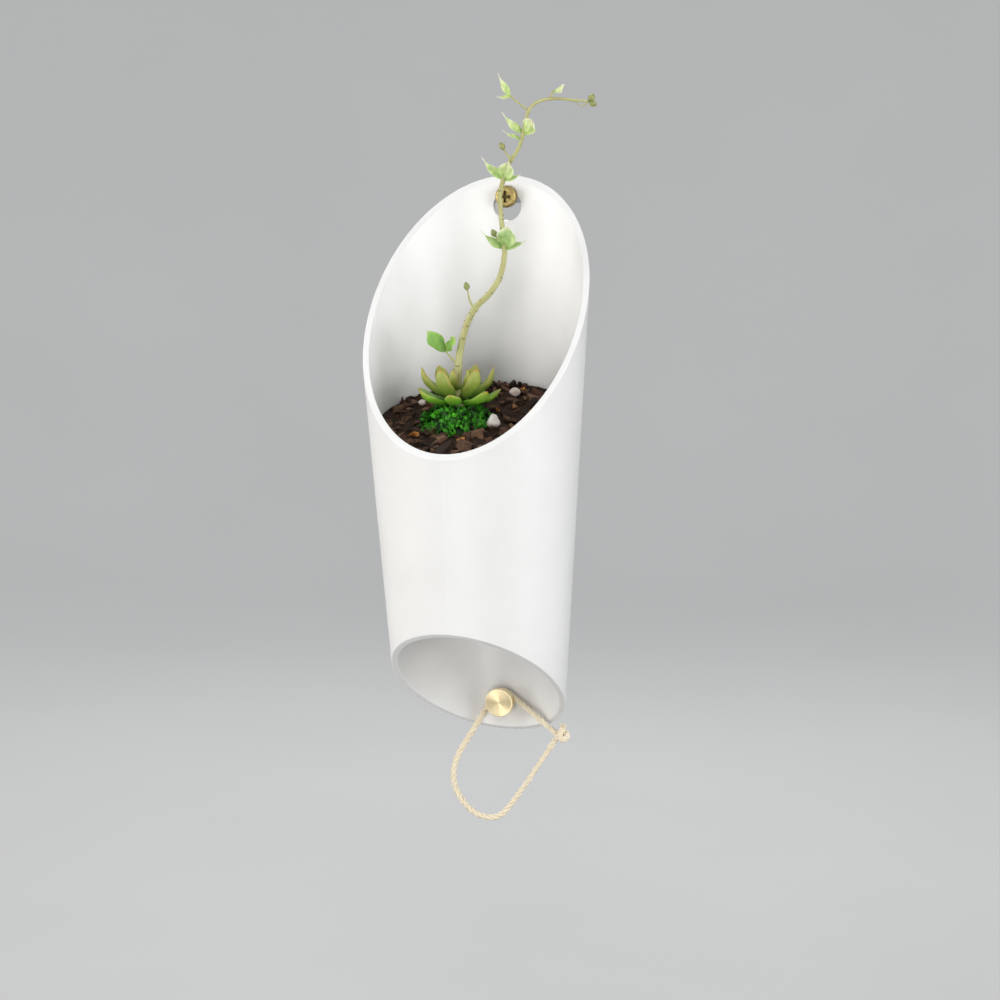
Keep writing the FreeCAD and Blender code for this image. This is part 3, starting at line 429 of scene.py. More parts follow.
def islands(node):
    """The points of each separate solid of a CAD node."""
    work = bmesh.new()
    work.from_mesh(nodes[node].data)
    bmesh.ops.remove_doubles(work, verts=work.verts, dist=1e-6)
    found = []
    seen = set()
    for start in work.verts:
        if start in seen:
            continue
        seen.add(start)
        members = [start]
        for vert in members:
            for edge in vert.link_edges:
                other = edge.other_vert(vert)
                if other not in seen:
                    seen.add(other)
                    members.append(other)
        found.append([vert.co.copy() for vert in members])
    work.free()
    return found


def middle_of(points):
    return sum(points, Vector()) / len(points)


def main_axes(points):
    """A solid's middle, and its directions from the longest to the shortest with its reach along each."""
    cloud = np.array([tuple(point) for point in points])
    middle = (cloud.min(axis=0) + cloud.max(axis=0)) / 2
    directions = np.linalg.svd(cloud - cloud.mean(axis=0), full_matrices=False)[2]
    sizes = [(Vector(direction), float(np.ptp((cloud - middle) @ direction))) for direction in directions]
    return Vector(middle), sorted(sizes, key=lambda pair: -pair[1])


def turns(count):
    """Equal angles round a ring."""
    return [2 * math.pi * k / count for k in range(count)]


def crosswise(side, other, angle):
    return side * math.cos(angle) + other * math.sin(angle)


def spline_points(route, resolution):
    """Points along a smooth line that has the route as its control points."""
    curve = bpy.data.curves.new("line", "CURVE")
    curve.dimensions = "3D"
    curve.resolution_u = resolution
    spline = curve.splines.new("NURBS")
    spline.points.add(len(route) - 1)
    for point, place in zip(spline.points, route):
        point.co = (*place, 1.0)
    spline.order_u = 3
    spline.use_endpoint_u = True
    line = bpy.data.objects.new("line", curve)
    mesh = bpy.data.meshes.new_from_object(line)
    points = [vert.co.copy() for vert in mesh.vertices]
    bpy.data.objects.remove(line)
    bpy.data.curves.remove(curve)
    bpy.data.meshes.remove(mesh)
    return points


def frames_along(points):
    """The direction and two crosswise directions at each point, turned as little as can be between points."""
    frames = []
    side = None
    for i in range(len(points)):
        ahead = (points[min(i + 1, len(points) - 1)] - points[max(i - 1, 0)]).normalized()
        side = ahead.orthogonal() if side is None else side
        side = (side - ahead * side.dot(ahead)).normalized()
        frames.append((ahead, side, ahead.cross(side)))
    return frames


def lengths_along(points):
    lengths = [0.0]
    for before, after in zip(points, points[1:]):
        lengths.append(lengths[-1] + (after - before).length)
    return lengths


def add_tube(form, points, radii, sides, **values):
    """A round tube along points, with a radius for each. Its grain runs along it."""
    frames = frames_along(points)
    lengths = lengths_along(points)
    rings = []
    grain = []
    for point, (ahead, side, other), radius, length in zip(points, frames, radii, lengths):
        ring = []
        for angle in turns(sides):
            ring.append(point + crosswise(side, other, angle) * radius)
            grain.append(Vector((math.cos(angle) * radius, math.sin(angle) * radius, length)))
        rings.append(ring)
    form.add_rings(rings, grain=grain, **values)


# The cord loop: the route that its solid has, from the knot over the peg and back.

PEG_AXIS = mm(0.0, 0.0, -208.1)
CORD_ROUTE = [
    (26.5, 16.1, -9.6), (8.5, 7.5, -0.4), (0.98, 6.4, 4.68), (-2.70, 6.4, 3.95), (-6.8, 6.9, -3.2),
    (-11.9, 9.5, -13.0), (-17.7, 12.0, -22.8), (-19.9, 13.2, -32.3), (-16.4, 14.0, -40.9), (-9.4, 14.6, -47.2),
    (-0.9, 14.8, -48.7), (6.3, 14.8, -43.6), (25.9, 16.4, -12.8),
]
CORD_DIAMETER = 2.5 * MM
STRANDS = 3
STRAND_RADIUS = 0.70 * MM
STRAND_OFFSET = 0.63 * MM
TWIST = 8.4 * MM


def from_peg(point):
    """A place given from the peg's axis at the wall: across, out from the wall and up, in millimetres."""
    across, out, up = point
    return PEG_AXIS + mm(across, -out, up)


def add_rope(form, points, thickness=1.0):
    """Twisted strands along points, each with its own fine twist."""
    frames = frames_along(points)
    lengths = lengths_along(points)
    for strand in range(STRANDS):
        line = []
        for point, (ahead, side, other), length in zip(points, frames, lengths):
            angle = 2 * math.pi * (length / TWIST + strand / STRANDS)
            line.append(point + crosswise(side, other, angle) * (STRAND_OFFSET * thickness))
        wobble = [1 + 0.05 * noise.noise(point * 900 + Vector((strand * 7, 0, 0))) for point in line]
        add_tube(form, line, [STRAND_RADIUS * thickness * w for w in wobble], 9)


def make_cord(look):
    points = spline_points([from_peg(point) for point in CORD_ROUTE], 20)
    form = Form()
    add_rope(form, points)
    fuzz = random.Random(5)
    for place in range(6, len(points) - 6, 2):
        ahead = (points[place + 1] - points[place]).normalized()
        spin = Matrix.Rotation(fuzz.uniform(0, 2 * math.pi), 3, ahead)
        outward = spin @ ahead.orthogonal().normalized()
        start = points[place] + outward * (CORD_DIAMETER * 0.42)
        lean = (outward * fuzz.uniform(0.15, 0.5) + ahead * fuzz.uniform(-0.9, 0.9)).normalized()
        hair = [start, start + lean * fuzz.uniform(0.3, 0.55) * MM]
        hair.append(start + (lean * 0.9 + ahead * 0.3) * 0.8 * MM)
        add_tube(form, hair, [0.035 * MM, 0.03 * MM, 0.015 * MM], 4)
    cord = put("cord_loop", form, look, "loop_cord", "key_loop")
    knot = make_knot(look)


# The knot from its centre: one run goes on round a small bight and tucks under itself, and its tail stands
# up. The other run comes up through it.
KNOT_CENTRE = from_peg((28.3, 16.6, -10.4))
BIGHT_ROUTE = [
    (-4.2, 1.6, 2.0), (-1.4, 0.2, 0.4), (0.8, -1.5, -1.0), (2.6, -1.2, -1.0), (3.3, 0.2, 0.2), (2.2, 1.4, 1.2),
    (0.4, 1.3, 1.0), (-0.9, 0.2, 0.0), (-0.6, -1.5, -0.7), (0.4, -1.3, 0.8), (0.9, -0.7, 2.4), (1.3, -0.5, 3.6),
]
LOWER_ROUTE = [(-4.4, 0.0, -5.4), (-2.4, 0.2, -2.4), (-0.6, 0.6, 0.2), (0.8, 0.9, 1.8)]
TAIL_END = mm(1.7, -0.4, 5.4)
TAIL_HAIRS = 60


def make_knot(look):
    form = Form()
    for route in (LOWER_ROUTE, BIGHT_ROUTE):
        points = spline_points([KNOT_CENTRE + mm(*point) for point in route], 14)
        add_rope(form, points, 0.97)
    fray = random.Random(11)
    root = points[-1]
    heading = (KNOT_CENTRE + TAIL_END - root).normalized()
    side = heading.orthogonal().normalized()
    other = heading.cross(side)
    for _ in range(TAIL_HAIRS):
        spoke = crosswise(side, other, fray.uniform(0, 2 * math.pi))
        reach = math.sqrt(fray.random())
        start = root + spoke * reach * 0.85 * MM - heading * 0.5 * MM
        length = fray.uniform(1.0, 2.2) * MM
        flare = spoke * reach * fray.uniform(0.2, 0.9)
        hair = [start]
        for share in (0.35, 0.7, 1.0):
            hair.append(start + heading * length * share + flare * (share * share * 1.1 * MM))
        add_tube(form, hair, [0.16 * MM, 0.15 * MM, 0.12 * MM, 0.05 * MM], 5)
    return put("cord_knot", form, look, "loop_knot", "key_loop")


# The plant: a stalk and its shoots along their routes, from the top of the rosette's crown in millimetres.

STALK_ROUTE = [
    (0, 0, 0), (0, 0, 9.5), (1.1, 0.6, 18.0), (3.5, 1.3, 27.0), (7.0, 1.9, 33.0), (11.9, 2.5, 37.2),
    (16.0, 3.2, 43.2), (17.8, 3.8, 50.3), (18.0, 4.3, 57.5), (16.5, 4.5, 64.5), (15.8, 4.7, 71.0),
    (15.4, 4.8, 77.0), (17.0, 5.0, 82.5), (18.9, 5.4, 88.6), (22.5, 5.8, 93.2), (24.3, 6.3, 98.6),
    (25.3, 6.9, 105.4), (26.9, 7.2, 110.4), (32.0, 7.7, 113.2), (38.5, 8.3, 113.5), (44.0, 8.6, 112.8),
    (50.2, 8.8, 112.3),
]
STALK_RADII = (1.5 * MM, 0.5 * MM)
STALK_NODES = (0.062, 0.231, 0.43, 0.444, 0.622, 0.678, 0.755, 0.819, 0.893)
STALK_SCARS = 60
SCAR_TAPER = (0.3, 0.7, 0.95, 1.0, 0.95, 0.7, 0.3)
SHOOT_ROUTES = (
    (0.062, [(-2.9, -0.4, 12.6), (-5.0, -0.8, 15.0)]),
    (0.231, [(4.75, 1.7, 33.9), (3.8, 1.6, 36.6), (3.4, 1.6, 38.9)]),
    (0.444, [(15.4, 3.6, 59.0), (14.4, 3.4, 59.9)]),
    (0.678, [(17.9, 5.3, 92.0), (17.0, 5.3, 93.6)]),
    (0.819, [(22.3, 6.8, 111.7), (19.2, 6.4, 114.3)]),
    (0.893, [(35.3, 8.0, 115.0), (36.1, 8.0, 116.4)]),
)
SHOOT_RADIUS = 0.36 * MM
TENDRIL_RADIUS = 0.2 * MM
TENDRIL_SHARE = 0.955
TENDRIL_BENDS = [(46.0, 8.4, 111.2), (47.3, 8.4, 110.5), (48.8, 8.5, 111.0), (49.8, 8.6, 112.0)]


def from_crown(route):
    low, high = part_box("rosette_crown")
    top = Vector(((low.x + high.x) / 2, (low.y + high.y) / 2, high.z))
    return [top + mm(*point) for point in route]


def add_scars(form, points, radii):
    """The dark crescents that fallen scales left on the stalk."""
    rand = random.Random(29)
    frames = frames_along(points)
    for _ in range(STALK_SCARS):
        place = rand.randrange(6, len(points) * 3 // 5)
        ahead, side, other = frames[place]
        start = rand.uniform(0, 2 * math.pi)
        line = []
        for step in range(-3, 4):
            spoke = crosswise(side, other, start + step * 0.24)
            dip = ahead * (step ** 2 * 0.05 * MM)
            line.append(points[place] + spoke * radii[place] * 0.98 + dip)
        thick = rand.uniform(0.12, 0.27) * MM
        add_tube(form, line, [thick * share for share in SCAR_TAPER], 6, edge=1.0)


def nearest_share(lengths, share):
    """The place in a line's lengths that is nearest to a share of the whole."""
    return min(range(len(lengths)), key=lambda k: abs(lengths[k] - share * lengths[-1]))


def make_stalk(look):
    """The bent stalk, thicker at its nodes. Gives the points along it."""
    points = spline_points(from_crown(STALK_ROUTE), 10)
    lengths = lengths_along(points)
    radii = []
    for point, length in zip(points, lengths):
        share = length / lengths[-1]
        radius = STALK_RADII[0] + (STALK_RADII[1] - STALK_RADII[0]) * share
        swell = sum(math.exp(-((share - node) / 0.007) ** 2) for node in STALK_NODES)
        radii.append(radius * (0.97 + 0.16 * swell + 0.05 * noise.noise(point * 300)))
    form = Form()
    add_tube(form, points, radii, 14, edge=0.0)
    add_scars(form, points, radii)
    put("flower_stem", form, look, "flower_stalk")
    return points


def make_shoots(look, stalk):
    """The thin side shoots. Gives the points along them."""
    lengths = lengths_along(stalk)
    form = Form()
    everywhere = []
    for share, bends in SHOOT_ROUTES:
        start = stalk[nearest_share(lengths, share)]
        points = spline_points([start] + from_crown(bends), 10)
        radii = [SHOOT_RADIUS * (1.25 - 0.4 * k / len(points)) for k in range(len(points))]
        radii = [radius * (1 + 0.16 * noise.noise(point * 700)) for radius, point in zip(radii, points)]
        add_tube(form, points, radii, 9, edge=0.0)
        everywhere += points
    start = stalk[nearest_share(lengths, TENDRIL_SHARE)]
    points = spline_points([start] + from_crown(TENDRIL_BENDS), 10)
    add_tube(form, points, [TENDRIL_RADIUS] * len(points), 7, edge=0.0)
    put("thin_shoots", form, look, "side_shoots")
    return everywhere


def leaf_frame(points, home):
    """A leaf's foot, middle, tip, sideways direction and width, from its solid. Its foot is nearest home."""
    middle, sizes = main_axes(points)
    direction = sizes[0][0]
    along = [(point - middle).dot(direction) for point in points]
    low, high = min(along), max(along)

    def average(start, end):
        return middle_of([p for p, a in zip(points, along) if start <= (a - low) / (high - low) <= end])

    ends = [average(0.0, 0.03), average(0.97, 1.0)]
    ends.sort(key=lambda end: min((end - place).length for place in home))
    near_middle = average(0.3, 0.7)
    root = min(home, key=lambda place: (place - ends[0]).length)
    foot = root + (ends[0] - root) * 0.35 if (ends[0] - root).length < 3.5 * MM else ends[0]
    return foot, near_middle, ends[1], sizes[1][0], sizes[1][1]


def fleshy(share):
    """How wide and how thick a rosette leaf is at a share of its length."""
    rise = math.sin(math.pi / 2 * min(share / 0.6, 1.0))
    fall = max(share - 0.6, 0.0) / 0.4
    width = (0.5 + 0.5 * rise) * (1 - fall ** 2.2) ** 0.75
    thickness = (0.66 + 0.34 * rise) * (1 - fall ** 1.8) ** 0.7
    return max(width, 0.05), max(thickness, 0.14)


def pointed(share):
    """A narrow blade that ends in a long thread."""
    body = math.sin(math.pi * min(share / 0.8, 1.0) ** 0.85)
    width = 0.13 + 0.87 * body ** 1.2
    width *= 1 - 0.55 * max(share - 0.76, 0.0) / 0.24
    return max(width, 0.05), 1.0 - 0.6 * share


def broad(share):
    """A round blade, widest past its middle, with a short point."""
    width = (0.14 + 0.86 * math.sin(math.pi * min(share / 0.97, 1.0) ** 1.15) ** 0.72) * (1 - share ** 9)
    return max(width, 0.05), 1.0 - 0.5 * share


# The kinds of leaf. The edges fold up by a share of the width and wave, the tip hooks to the upper side or rises,
# and the foot sinks into its stem. Pleats run lengthwise.
ROSETTE_LEAF = dict(outline=fleshy, wave=0.3 * MM, sink=1.2 * MM, stations=20, sides=18)
THIN = dict(thickness=0.5 * MM, sink=0.6 * MM)
PAIRED_LEAF = dict(
    THIN, outline=broad, fold=0.2, wave=0.9 * MM, hook=0.3 * MM, pleat=0.2 * MM, stations=26, sides=30,
)
HOOD = dict(THIN, outline=broad, fold=-0.3, wave=0.5 * MM, hook=0.2 * MM, pleat=0.28 * MM, stations=26, sides=34)
BLADE = dict(
    THIN, outline=pointed, fold=0.16, wave=0.2 * MM, hook=0.2 * MM, pleat=0.05 * MM, rise_tip=0.1 * MM,
    stations=28, sides=18,
)
SEPAL = dict(
    outline=pointed, thickness=0.16 * MM, sink=0.1 * MM, fold=0.1, wave=0.02 * MM, hook=0.0, stations=8, sides=8,
)
SEPAL_COUNT = 5


def add_leaf(
    form, shape, rand, outline, thickness, sink, fold, wave, hook, stations, sides, pleat=0.0, rise_tip=0.0,
    tint=None,
):
    """One leaf on its solid's line: full below and nearly flat above, with a groove along its middle."""
    foot, near_middle, tip, across, width = shape
    chord = tip - foot
    length = chord.length
    foot = foot - chord.normalized() * sink
    sag = near_middle - (foot + tip) / 2
    sag -= chord * (sag.dot(chord) / chord.length_squared)
    bend = (foot + tip) / 2 + sag * 2
    phase = rand.uniform(0, 6)
    pace = rand.uniform(8, 12)
    width = width * rand.uniform(0.93, 1.05)
    rings = []
    grain = []
    edge = []
    shares = [i / (stations - 1) for i in range(stations)]
    for share in shares:
        spine = foot * (1 - share) ** 2 + bend * (2 * share * (1 - share)) + tip * share ** 2
        ahead = ((bend - foot) * (1 - share) + (tip - bend) * share).normalized()
        side = (across - ahead * across.dot(ahead)).normalized()
        up = side.cross(ahead)
        if up.dot(sag) > 0:
            up = -up
        spine = spine + up * (hook * max(share - 0.55, 0) ** 2 * 5)
        spine.z += rise_tip * max(share - 0.6, 0) ** 2 * 6
        wide, thick = outline(share)
        ring = []
        for angle in turns(sides):
            reach = math.copysign(abs(math.cos(angle)) ** 0.85, math.cos(angle))
            rise = math.sin(angle)
            height = rise * (0.34 if rise > 0 else 0.66) * thick * thickness
            groove = -0.16 * thickness * thick * math.exp(-(reach / 0.22) ** 2) if rise > 0 else 0.0
            turn = phase if reach > 0 else phase * 2 + 1.7
            ripple = wave * math.sin(share * pace + turn) * reach ** 2 * wide
            ripple += pleat * math.cos(reach * 9 + phase) * math.sin(math.pi * share) * (1 - 0.3 * reach ** 2)
            lift = fold * abs(reach) * wide * width / 2 + ripple
            ring.append(spine + side * (reach * wide * width / 2) + up * (height + groove + lift))
            grain.append(Vector((reach * wide * width / 2, share * length, phase)))
            edge.append(abs(reach) if rise > -0.6 else abs(reach) * 0.7)
        rings.append(ring)
    tint = rand.random() if tint is None else tint
    form.add_rings(rings, along=shares, edge=edge, grain=grain, tint=tint)


# For each ring of leaves: their thickness and how far their tips hook in millimetres, and how much they fold.
ROSETTE = (("outer", 2.6, 1.3, 0.10), ("middle", 2.9, 2.0, 0.16), ("inner", 1.5, 1.6, 0.10))


def make_rosette(looks):
    home = from_crown([(0, 0, -1.0)])
    for (ring, thickness, hook, fold), look in zip(ROSETTE, looks):
        form = Form()
        rand = random.Random(len(ring))
        node = f"rosette_{ring}_leaves"
        for points in islands(node):
            shape = leaf_frame(points, home)
            bend = hook * rand.uniform(0.4, 1.4) * MM
            add_leaf(form, shape, rand, thickness=thickness * MM, fold=fold, hook=bend, **ROSETTE_LEAF)
        put(f"rosette_{ring}", form, look, node)


# Each group of thin leaves, with how pale it is. A leaf wider than a share of its length is a hood.
THIN_LEAVES = (
    ("shoot_leaves", 0.5), ("stalk_leaves_low", 0.15), ("stalk_leaves_middle", 0.6),
    ("stalk_leaves_high", 0.75), ("tip_leaves", 0.9),
)
HOOD_WIDTH = 0.6


def make_stalk_leaves(paired_look, look, stems):
    """The thin leaves on the stalk and its shoots: blades that end in a thread, and pleated hoods."""
    for node, paleness in THIN_LEAVES:
        form = Form()
        rand = random.Random(len(node))
        paired = node == "shoot_leaves"
        for points in islands(node):
            shape = leaf_frame(points, stems)
            tone = paleness + rand.uniform(-0.1, 0.1)
            if paired:
                add_leaf(form, shape, rand, **PAIRED_LEAF)
            else:
                is_hood = shape[4] > HOOD_WIDTH * (shape[2] - shape[0]).length
                add_leaf(form, shape, rand, **(HOOD if is_hood else BLADE), tint=tone)
        put(f"thin_{node}", form, paired_look if paired else look, node)


def make_crown(look):
    """The short scarred stem under the rosette."""
    low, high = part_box("rosette_crown")
    middle = (low + high) / 2
    rings = []
    for share in (i / 7 for i in range(8)):
        level = Vector((middle.x, middle.y, low.z + (high.z - low.z) * share))
        reach = (high.x - low.x) / 2 * (1 - 0.35 * share ** 3)
        ring = []
        for angle in turns(24):
            spoke = Vector((math.cos(angle), math.sin(angle), 0))
            scar = 0.05 * math.sin(5 * angle + 4 * share)
            ring.append(level + spoke * reach * (0.93 + scar))
        rings.append(ring)
    form = Form()
    form.add_rings(rings, grain=[place - middle for ring in rings for place in ring], edge=0.0)
    put("rosette_stub", form, look, "rosette_crown")


def make_buds(look, stems):
    """Closed buds: five folded petals in a cup of small sepals."""
    form = Form()
    rand = random.Random(3)
    for points in islands("flower_buds"):
        middle, sizes = main_axes(points)
        axis, length = sizes[0]
        near = min(stems, key=lambda place: (place - middle).length)
        if axis.dot(middle - near) < 0:
            axis = -axis
        reach = sizes[1][1] / 2
        side = axis.orthogonal().normalized()
        other = axis.cross(side)
        base = middle - axis * (length / 2)
        tint = rand.random()
        neck = [near, near + (base - near) * 0.6, base + axis * (length * 0.15)]
        add_tube(form, neck, [0.4 * MM, 0.36 * MM, 0.42 * MM], 8, along=0.0, edge=0.2, tint=tint)
        rings = []
        grain = []
        shares = [i / 13 for i in range(14)]
        for share in shares:
            body = math.sin(math.pi * (0.12 + 0.86 * share) ** 0.9) ** 0.8
            ring = []
            for angle in turns(20):
                petal = 1 + 0.09 * (0.3 + share) * math.cos(5 * angle + 2.2 * share)
                spoke = crosswise(side, other, angle)
                ring.append(base + axis * (length * share) + spoke * (reach * body * petal))
                grain.append(Vector((math.cos(angle) * reach, share * length, math.sin(angle) * reach)))
            rings.append(ring)
        form.add_rings(rings, along=shares, edge=0.3, grain=grain, tint=tint)
        for k in range(SEPAL_COUNT):
            spoke = crosswise(side, other, 2 * math.pi * (k + 0.5) / SEPAL_COUNT)
            across = axis.cross(spoke)
            foot = base + spoke * reach * 0.25
            tip = base + axis * length * 0.62 + spoke * reach * 1.02
            sepal = (foot, base + axis * length * 0.25 + spoke * reach * 0.95, tip, across, reach * 0.9)
            add_leaf(form, sepal, rand, **SEPAL)
    put("closed_buds", form, look, "flower_buds")


# The bed: lumpy soil in the pot, bark and pebbles on it, and moss round the plant.

class Bed:
    """The soil's surface: its middle, its directions and how far it reaches."""

    def __init__(self):
        mesh = nodes["potting_soil"].data
        self.tree = BVHTree.FromPolygons([v.co for v in mesh.vertices], [tuple(p.vertices) for p in mesh.polygons])
        self.low, self.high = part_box("potting_soil")
        middle = Vector((0.0, (self.low.y + self.high.y) / 2, 0.05))
        self.origin, self.normal = self.tree.ray_cast(middle, Vector((0, 0, -1)))[:2]
        self.across = Vector((1, 0, 0))
        self.uphill = self.normal.cross(self.across).normalized()

    def spoke(self, angle):
        return crosswise(self.across, self.uphill, angle)

    def reach(self, angle):
        """How far the surface goes in a direction."""
        return self.tree.ray_cast(self.origin - self.normal * 0.3 * MM, self.spoke(angle))[3]

    def lump(self, place):
        coarse = noise.noise(place * 120)
        fine = noise.turbulence(place * 420, 3, False)
        return (0.9 * coarse + 0.9 * (fine - 0.5)) * MM

    def place(self, angle, share):
        flat = self.origin + self.spoke(angle) * (self.reach(angle) * share)
        return flat + self.normal * (self.lump(flat) * (1 - share ** 6) - 0.3 * MM)


def make_soil(look, bed):
    steps = 34
    angles = turns(120)
    rings = []
    for i in range(steps):
        share = 0.02 + 0.98 * i / (steps - 1)
        rings.append([bed.place(angle, share) for angle in angles])
    lowest = [v.co for v in nodes["potting_soil"].data.vertices if v.co.z < bed.low.z + 1e-5]
    base = middle_of(lowest) + mm(0, 0, 0.3)
    bottom = []
    for angle in angles:
        outward = Vector((math.cos(angle), math.sin(angle), 0))
        bottom.append(base + outward * (bed.tree.ray_cast(base, outward)[3] - 0.1 * MM))
    rings.append(bottom)
    form = Form()
    form.add_rings(rings)
    put("lumpy_soil", form, look, "potting_soil")


def add_chip(form, place, axes, sizes, tint, rand):
    """An angular bit of bark: the hull of points on a box, with flat faces."""
    work = bmesh.new()
    for _ in range(11):
        spot = [rand.uniform(-1, 1) for _ in range(3)]
        spot[rand.randrange(3)] = rand.choice((-1, 1))
        taper = 1 - 0.45 * max(spot[0], 0)
        work.verts.new((spot[0] * sizes[0] / 2, spot[1] * sizes[1] / 2 * taper, spot[2] * sizes[2] / 2 * taper))
    made = bmesh.ops.convex_hull(work, input=work.verts)
    inner = [part for part in made["geom_interior"] if isinstance(part, bmesh.types.BMVert)]
    bmesh.ops.delete(work, geom=inner, context="VERTS")
    bevel = min(sizes) * 0.06
    bmesh.ops.bevel(work, geom=work.edges[:], offset=bevel, segments=1, affect="EDGES", clamp_overlap=True)
    long_axis, short_axis, up = axes
    points = []
    grain = []
    for vert in work.verts:
        points.append(place + long_axis * vert.co.x + short_axis * vert.co.y + up * vert.co.z)
        grain.append(vert.co + Vector((tint * 5, tint * 3, 0)))
    form.add_solid(points, work, tint=tint, grain=grain)


CHIP_COUNT = 300
CHIP_LENGTHS = (2.2, 3.0, 3.8, 4.6, 5.6, 7.0)


def make_chips(look, bed):
    rand = random.Random(21)
    moss_low, moss_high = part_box("moss_mound")
    moss = (moss_low + moss_high) / 2
    moss_reach = (moss_high.x - moss_low.x) / 2
    form = Form(smooth=False)
    made = 0
    while made < CHIP_COUNT:
        angle = rand.uniform(0, 2 * math.pi)
        share = math.sqrt(rand.uniform(0.0, 1.0))
        front = max(-math.sin(angle), 0.0) * share
        length = rand.choice(CHIP_LENGTHS) * rand.uniform(0.85, 1.2) * (1 + 0.35 * front) * MM
        reach = bed.reach(angle)
        share = min(share, 1 - length * 0.55 / reach)
        place = bed.place(angle, share)
        flat = Vector((place.x - moss.x, place.y - moss.y, 0))
        if flat.length < moss_reach * 0.8:
            continue
        yaw = rand.uniform(0, math.pi)
        tilt = rand.uniform(-0.5, 0.5)
        long_axis = (bed.spoke(yaw) + bed.normal * tilt).normalized()
        short_axis = bed.normal.cross(long_axis).normalized()
        up = long_axis.cross(short_axis)
        sizes = (length, length * rand.uniform(0.38, 0.7), rand.uniform(1.2, 3.2) * MM)
        tint = rand.random() ** 1.3 * 0.92 if rand.random() > 0.03 else 0.98
        place = place + bed.normal * rand.uniform(0.2, 1.5) * MM
        add_chip(form, place, (long_axis, short_axis, up), sizes, tint, rand)
        made += 1
    put("loose_bark", form, look, "bark_chips")


PEBBLE_TINTS = (0.0, 0.5, 0.35, 0.8)


def make_pebbles(look):
    """Water-worn stones, one of them three-lobed."""
    form = Form()
    rand = random.Random(8)
    stones = sorted(islands("pebbles"), key=lambda points: -main_axes(points)[1][0][1])
    for i, points in enumerate(stones):
        middle, sizes = main_axes(points)
        work = bmesh.new()
        bmesh.ops.create_icosphere(work, subdivisions=4, radius=1.0)
        shift = Vector((i * 3.7, 0, 0))
        spots = []
        for vert in work.verts:
            if i == 0:
                turn = math.atan2(vert.co.z, vert.co.x)
                lobes = math.hypot(vert.co.x, vert.co.z) * math.cos(3 * (turn - math.pi / 2))
                dent = 1.0 + 0.17 * lobes + 0.05 * noise.noise(vert.co * 2.0)
                reached = vert.co * dent * (sizes[0][1] / 2)
            else:
                dent = 1 + 0.22 * noise.noise(vert.co * 1.1 + shift) + 0.05 * noise.noise(vert.co * 4.0 + shift)
                reached = Vector()
                for (axis, size), value in zip(sizes, vert.co * dent):
                    reached += axis * (value * size / 2)
            spots.append(middle + reached)
        form.add_solid(spots, work, tint=PEBBLE_TINTS[i % 4] + 0.1 * rand.random())
    put("worn_pebbles", form, look, "pebbles")


# A moss leaflet: its points ahead, sideways and up in shares of its size, how far along it each is, and its faces.
LEAFLET_POINTS = (
    (0, 0, 0), (0.45, 0.3, 0), (0.5, 0, -0.1), (0.45, -0.3, 0), (0.85, 0.17, 0), (0.85, -0.17, 0), (1, 0, 0.12),
)
# How far along each point is also sets its painted shade, darkest at the foot.
LEAFLET_ALONG = [0.15, 0.55, 0.5, 0.55, 0.85, 0.85, 1.0]
LEAFLET_FACES = ((0, 1, 2), (0, 2, 3), (1, 4, 6, 2), (2, 6, 5, 3))
LEAFLET_SIZES = (1.2, 1.7, 2.4, 3.0)
LEAFLET_COUNT = 1700


def make_moss(look, bed):
    """A cushion of small leaflets in clumps, over a mat that carries painted shade: it is coloured nearly black.
    """
    low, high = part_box("moss_mound")
    middle = (low + high) / 2
    reach = (high.x - low.x) / 2
    ground = bed.tree.ray_cast(Vector((middle.x, middle.y, 0.05)), Vector((0, 0, -1)))[0]
    height = high.z - ground.z
    rand = random.Random(17)

    def dome(angle, share):
        flat = ground + bed.spoke(angle) * (reach * share)
        bulge = height * max(1 - share ** 2, 0.0) ** 0.6
        clump = noise.noise(flat * 330) * 1.1 * MM + noise.noise(flat * 900) * 0.4 * MM
        return flat + bed.normal * (bulge * 0.82 + clump - 0.4 * MM)

    form = Form()
    rings = []
    for i in range(16):
        rings.append([dome(angle, 0.03 + 0.97 * i / 15) - bed.normal * 0.8 * MM for angle in turns(60)])
    rings.append([point - bed.normal * 1.5 * MM for point in rings[-1]])
    # The mat under the leaflets has along 0, which gives it the moss's darkest painted shade.
    form.add_rings(rings, along=0.0)
    for _ in range(LEAFLET_COUNT):
        angle = rand.uniform(0, 2 * math.pi)
        share = math.sqrt(rand.random()) * 1.04
        foot = dome(angle, share)
        sparse = 0.12 * max((middle.x - foot.x) / reach, 0.0)
        if noise.noise(foot * 240) < sparse - 0.3:
            continue
        outward = (bed.normal * 1.2 + bed.spoke(angle) * share).normalized()
        lean = Vector((rand.uniform(-1, 1), rand.uniform(-1, 1), rand.uniform(-0.6, 1))).normalized()
        ahead = (outward + lean * 0.8).normalized()
        side = ahead.cross(lean).normalized()
        up = side.cross(ahead)
        size = rand.choice(LEAFLET_SIZES) * rand.uniform(0.85, 1.15) * MM
        points = [foot + (ahead * a + side * b + up * c) * size for a, b, c in LEAFLET_POINTS]
        form.add_faces(points, LEAFLET_FACES, along=LEAFLET_ALONG)
    put("moss_cushion", form, look, "moss_mound")


# The stage: a round pale floor that sweeps up into a wall all round, soft lamps and a dim even sky.

FLOOR_DROP = 0.30
FLOOR_REACH = 1.8
SWEEP_RADIUS = 1.2
WALL_TOP = 3.2


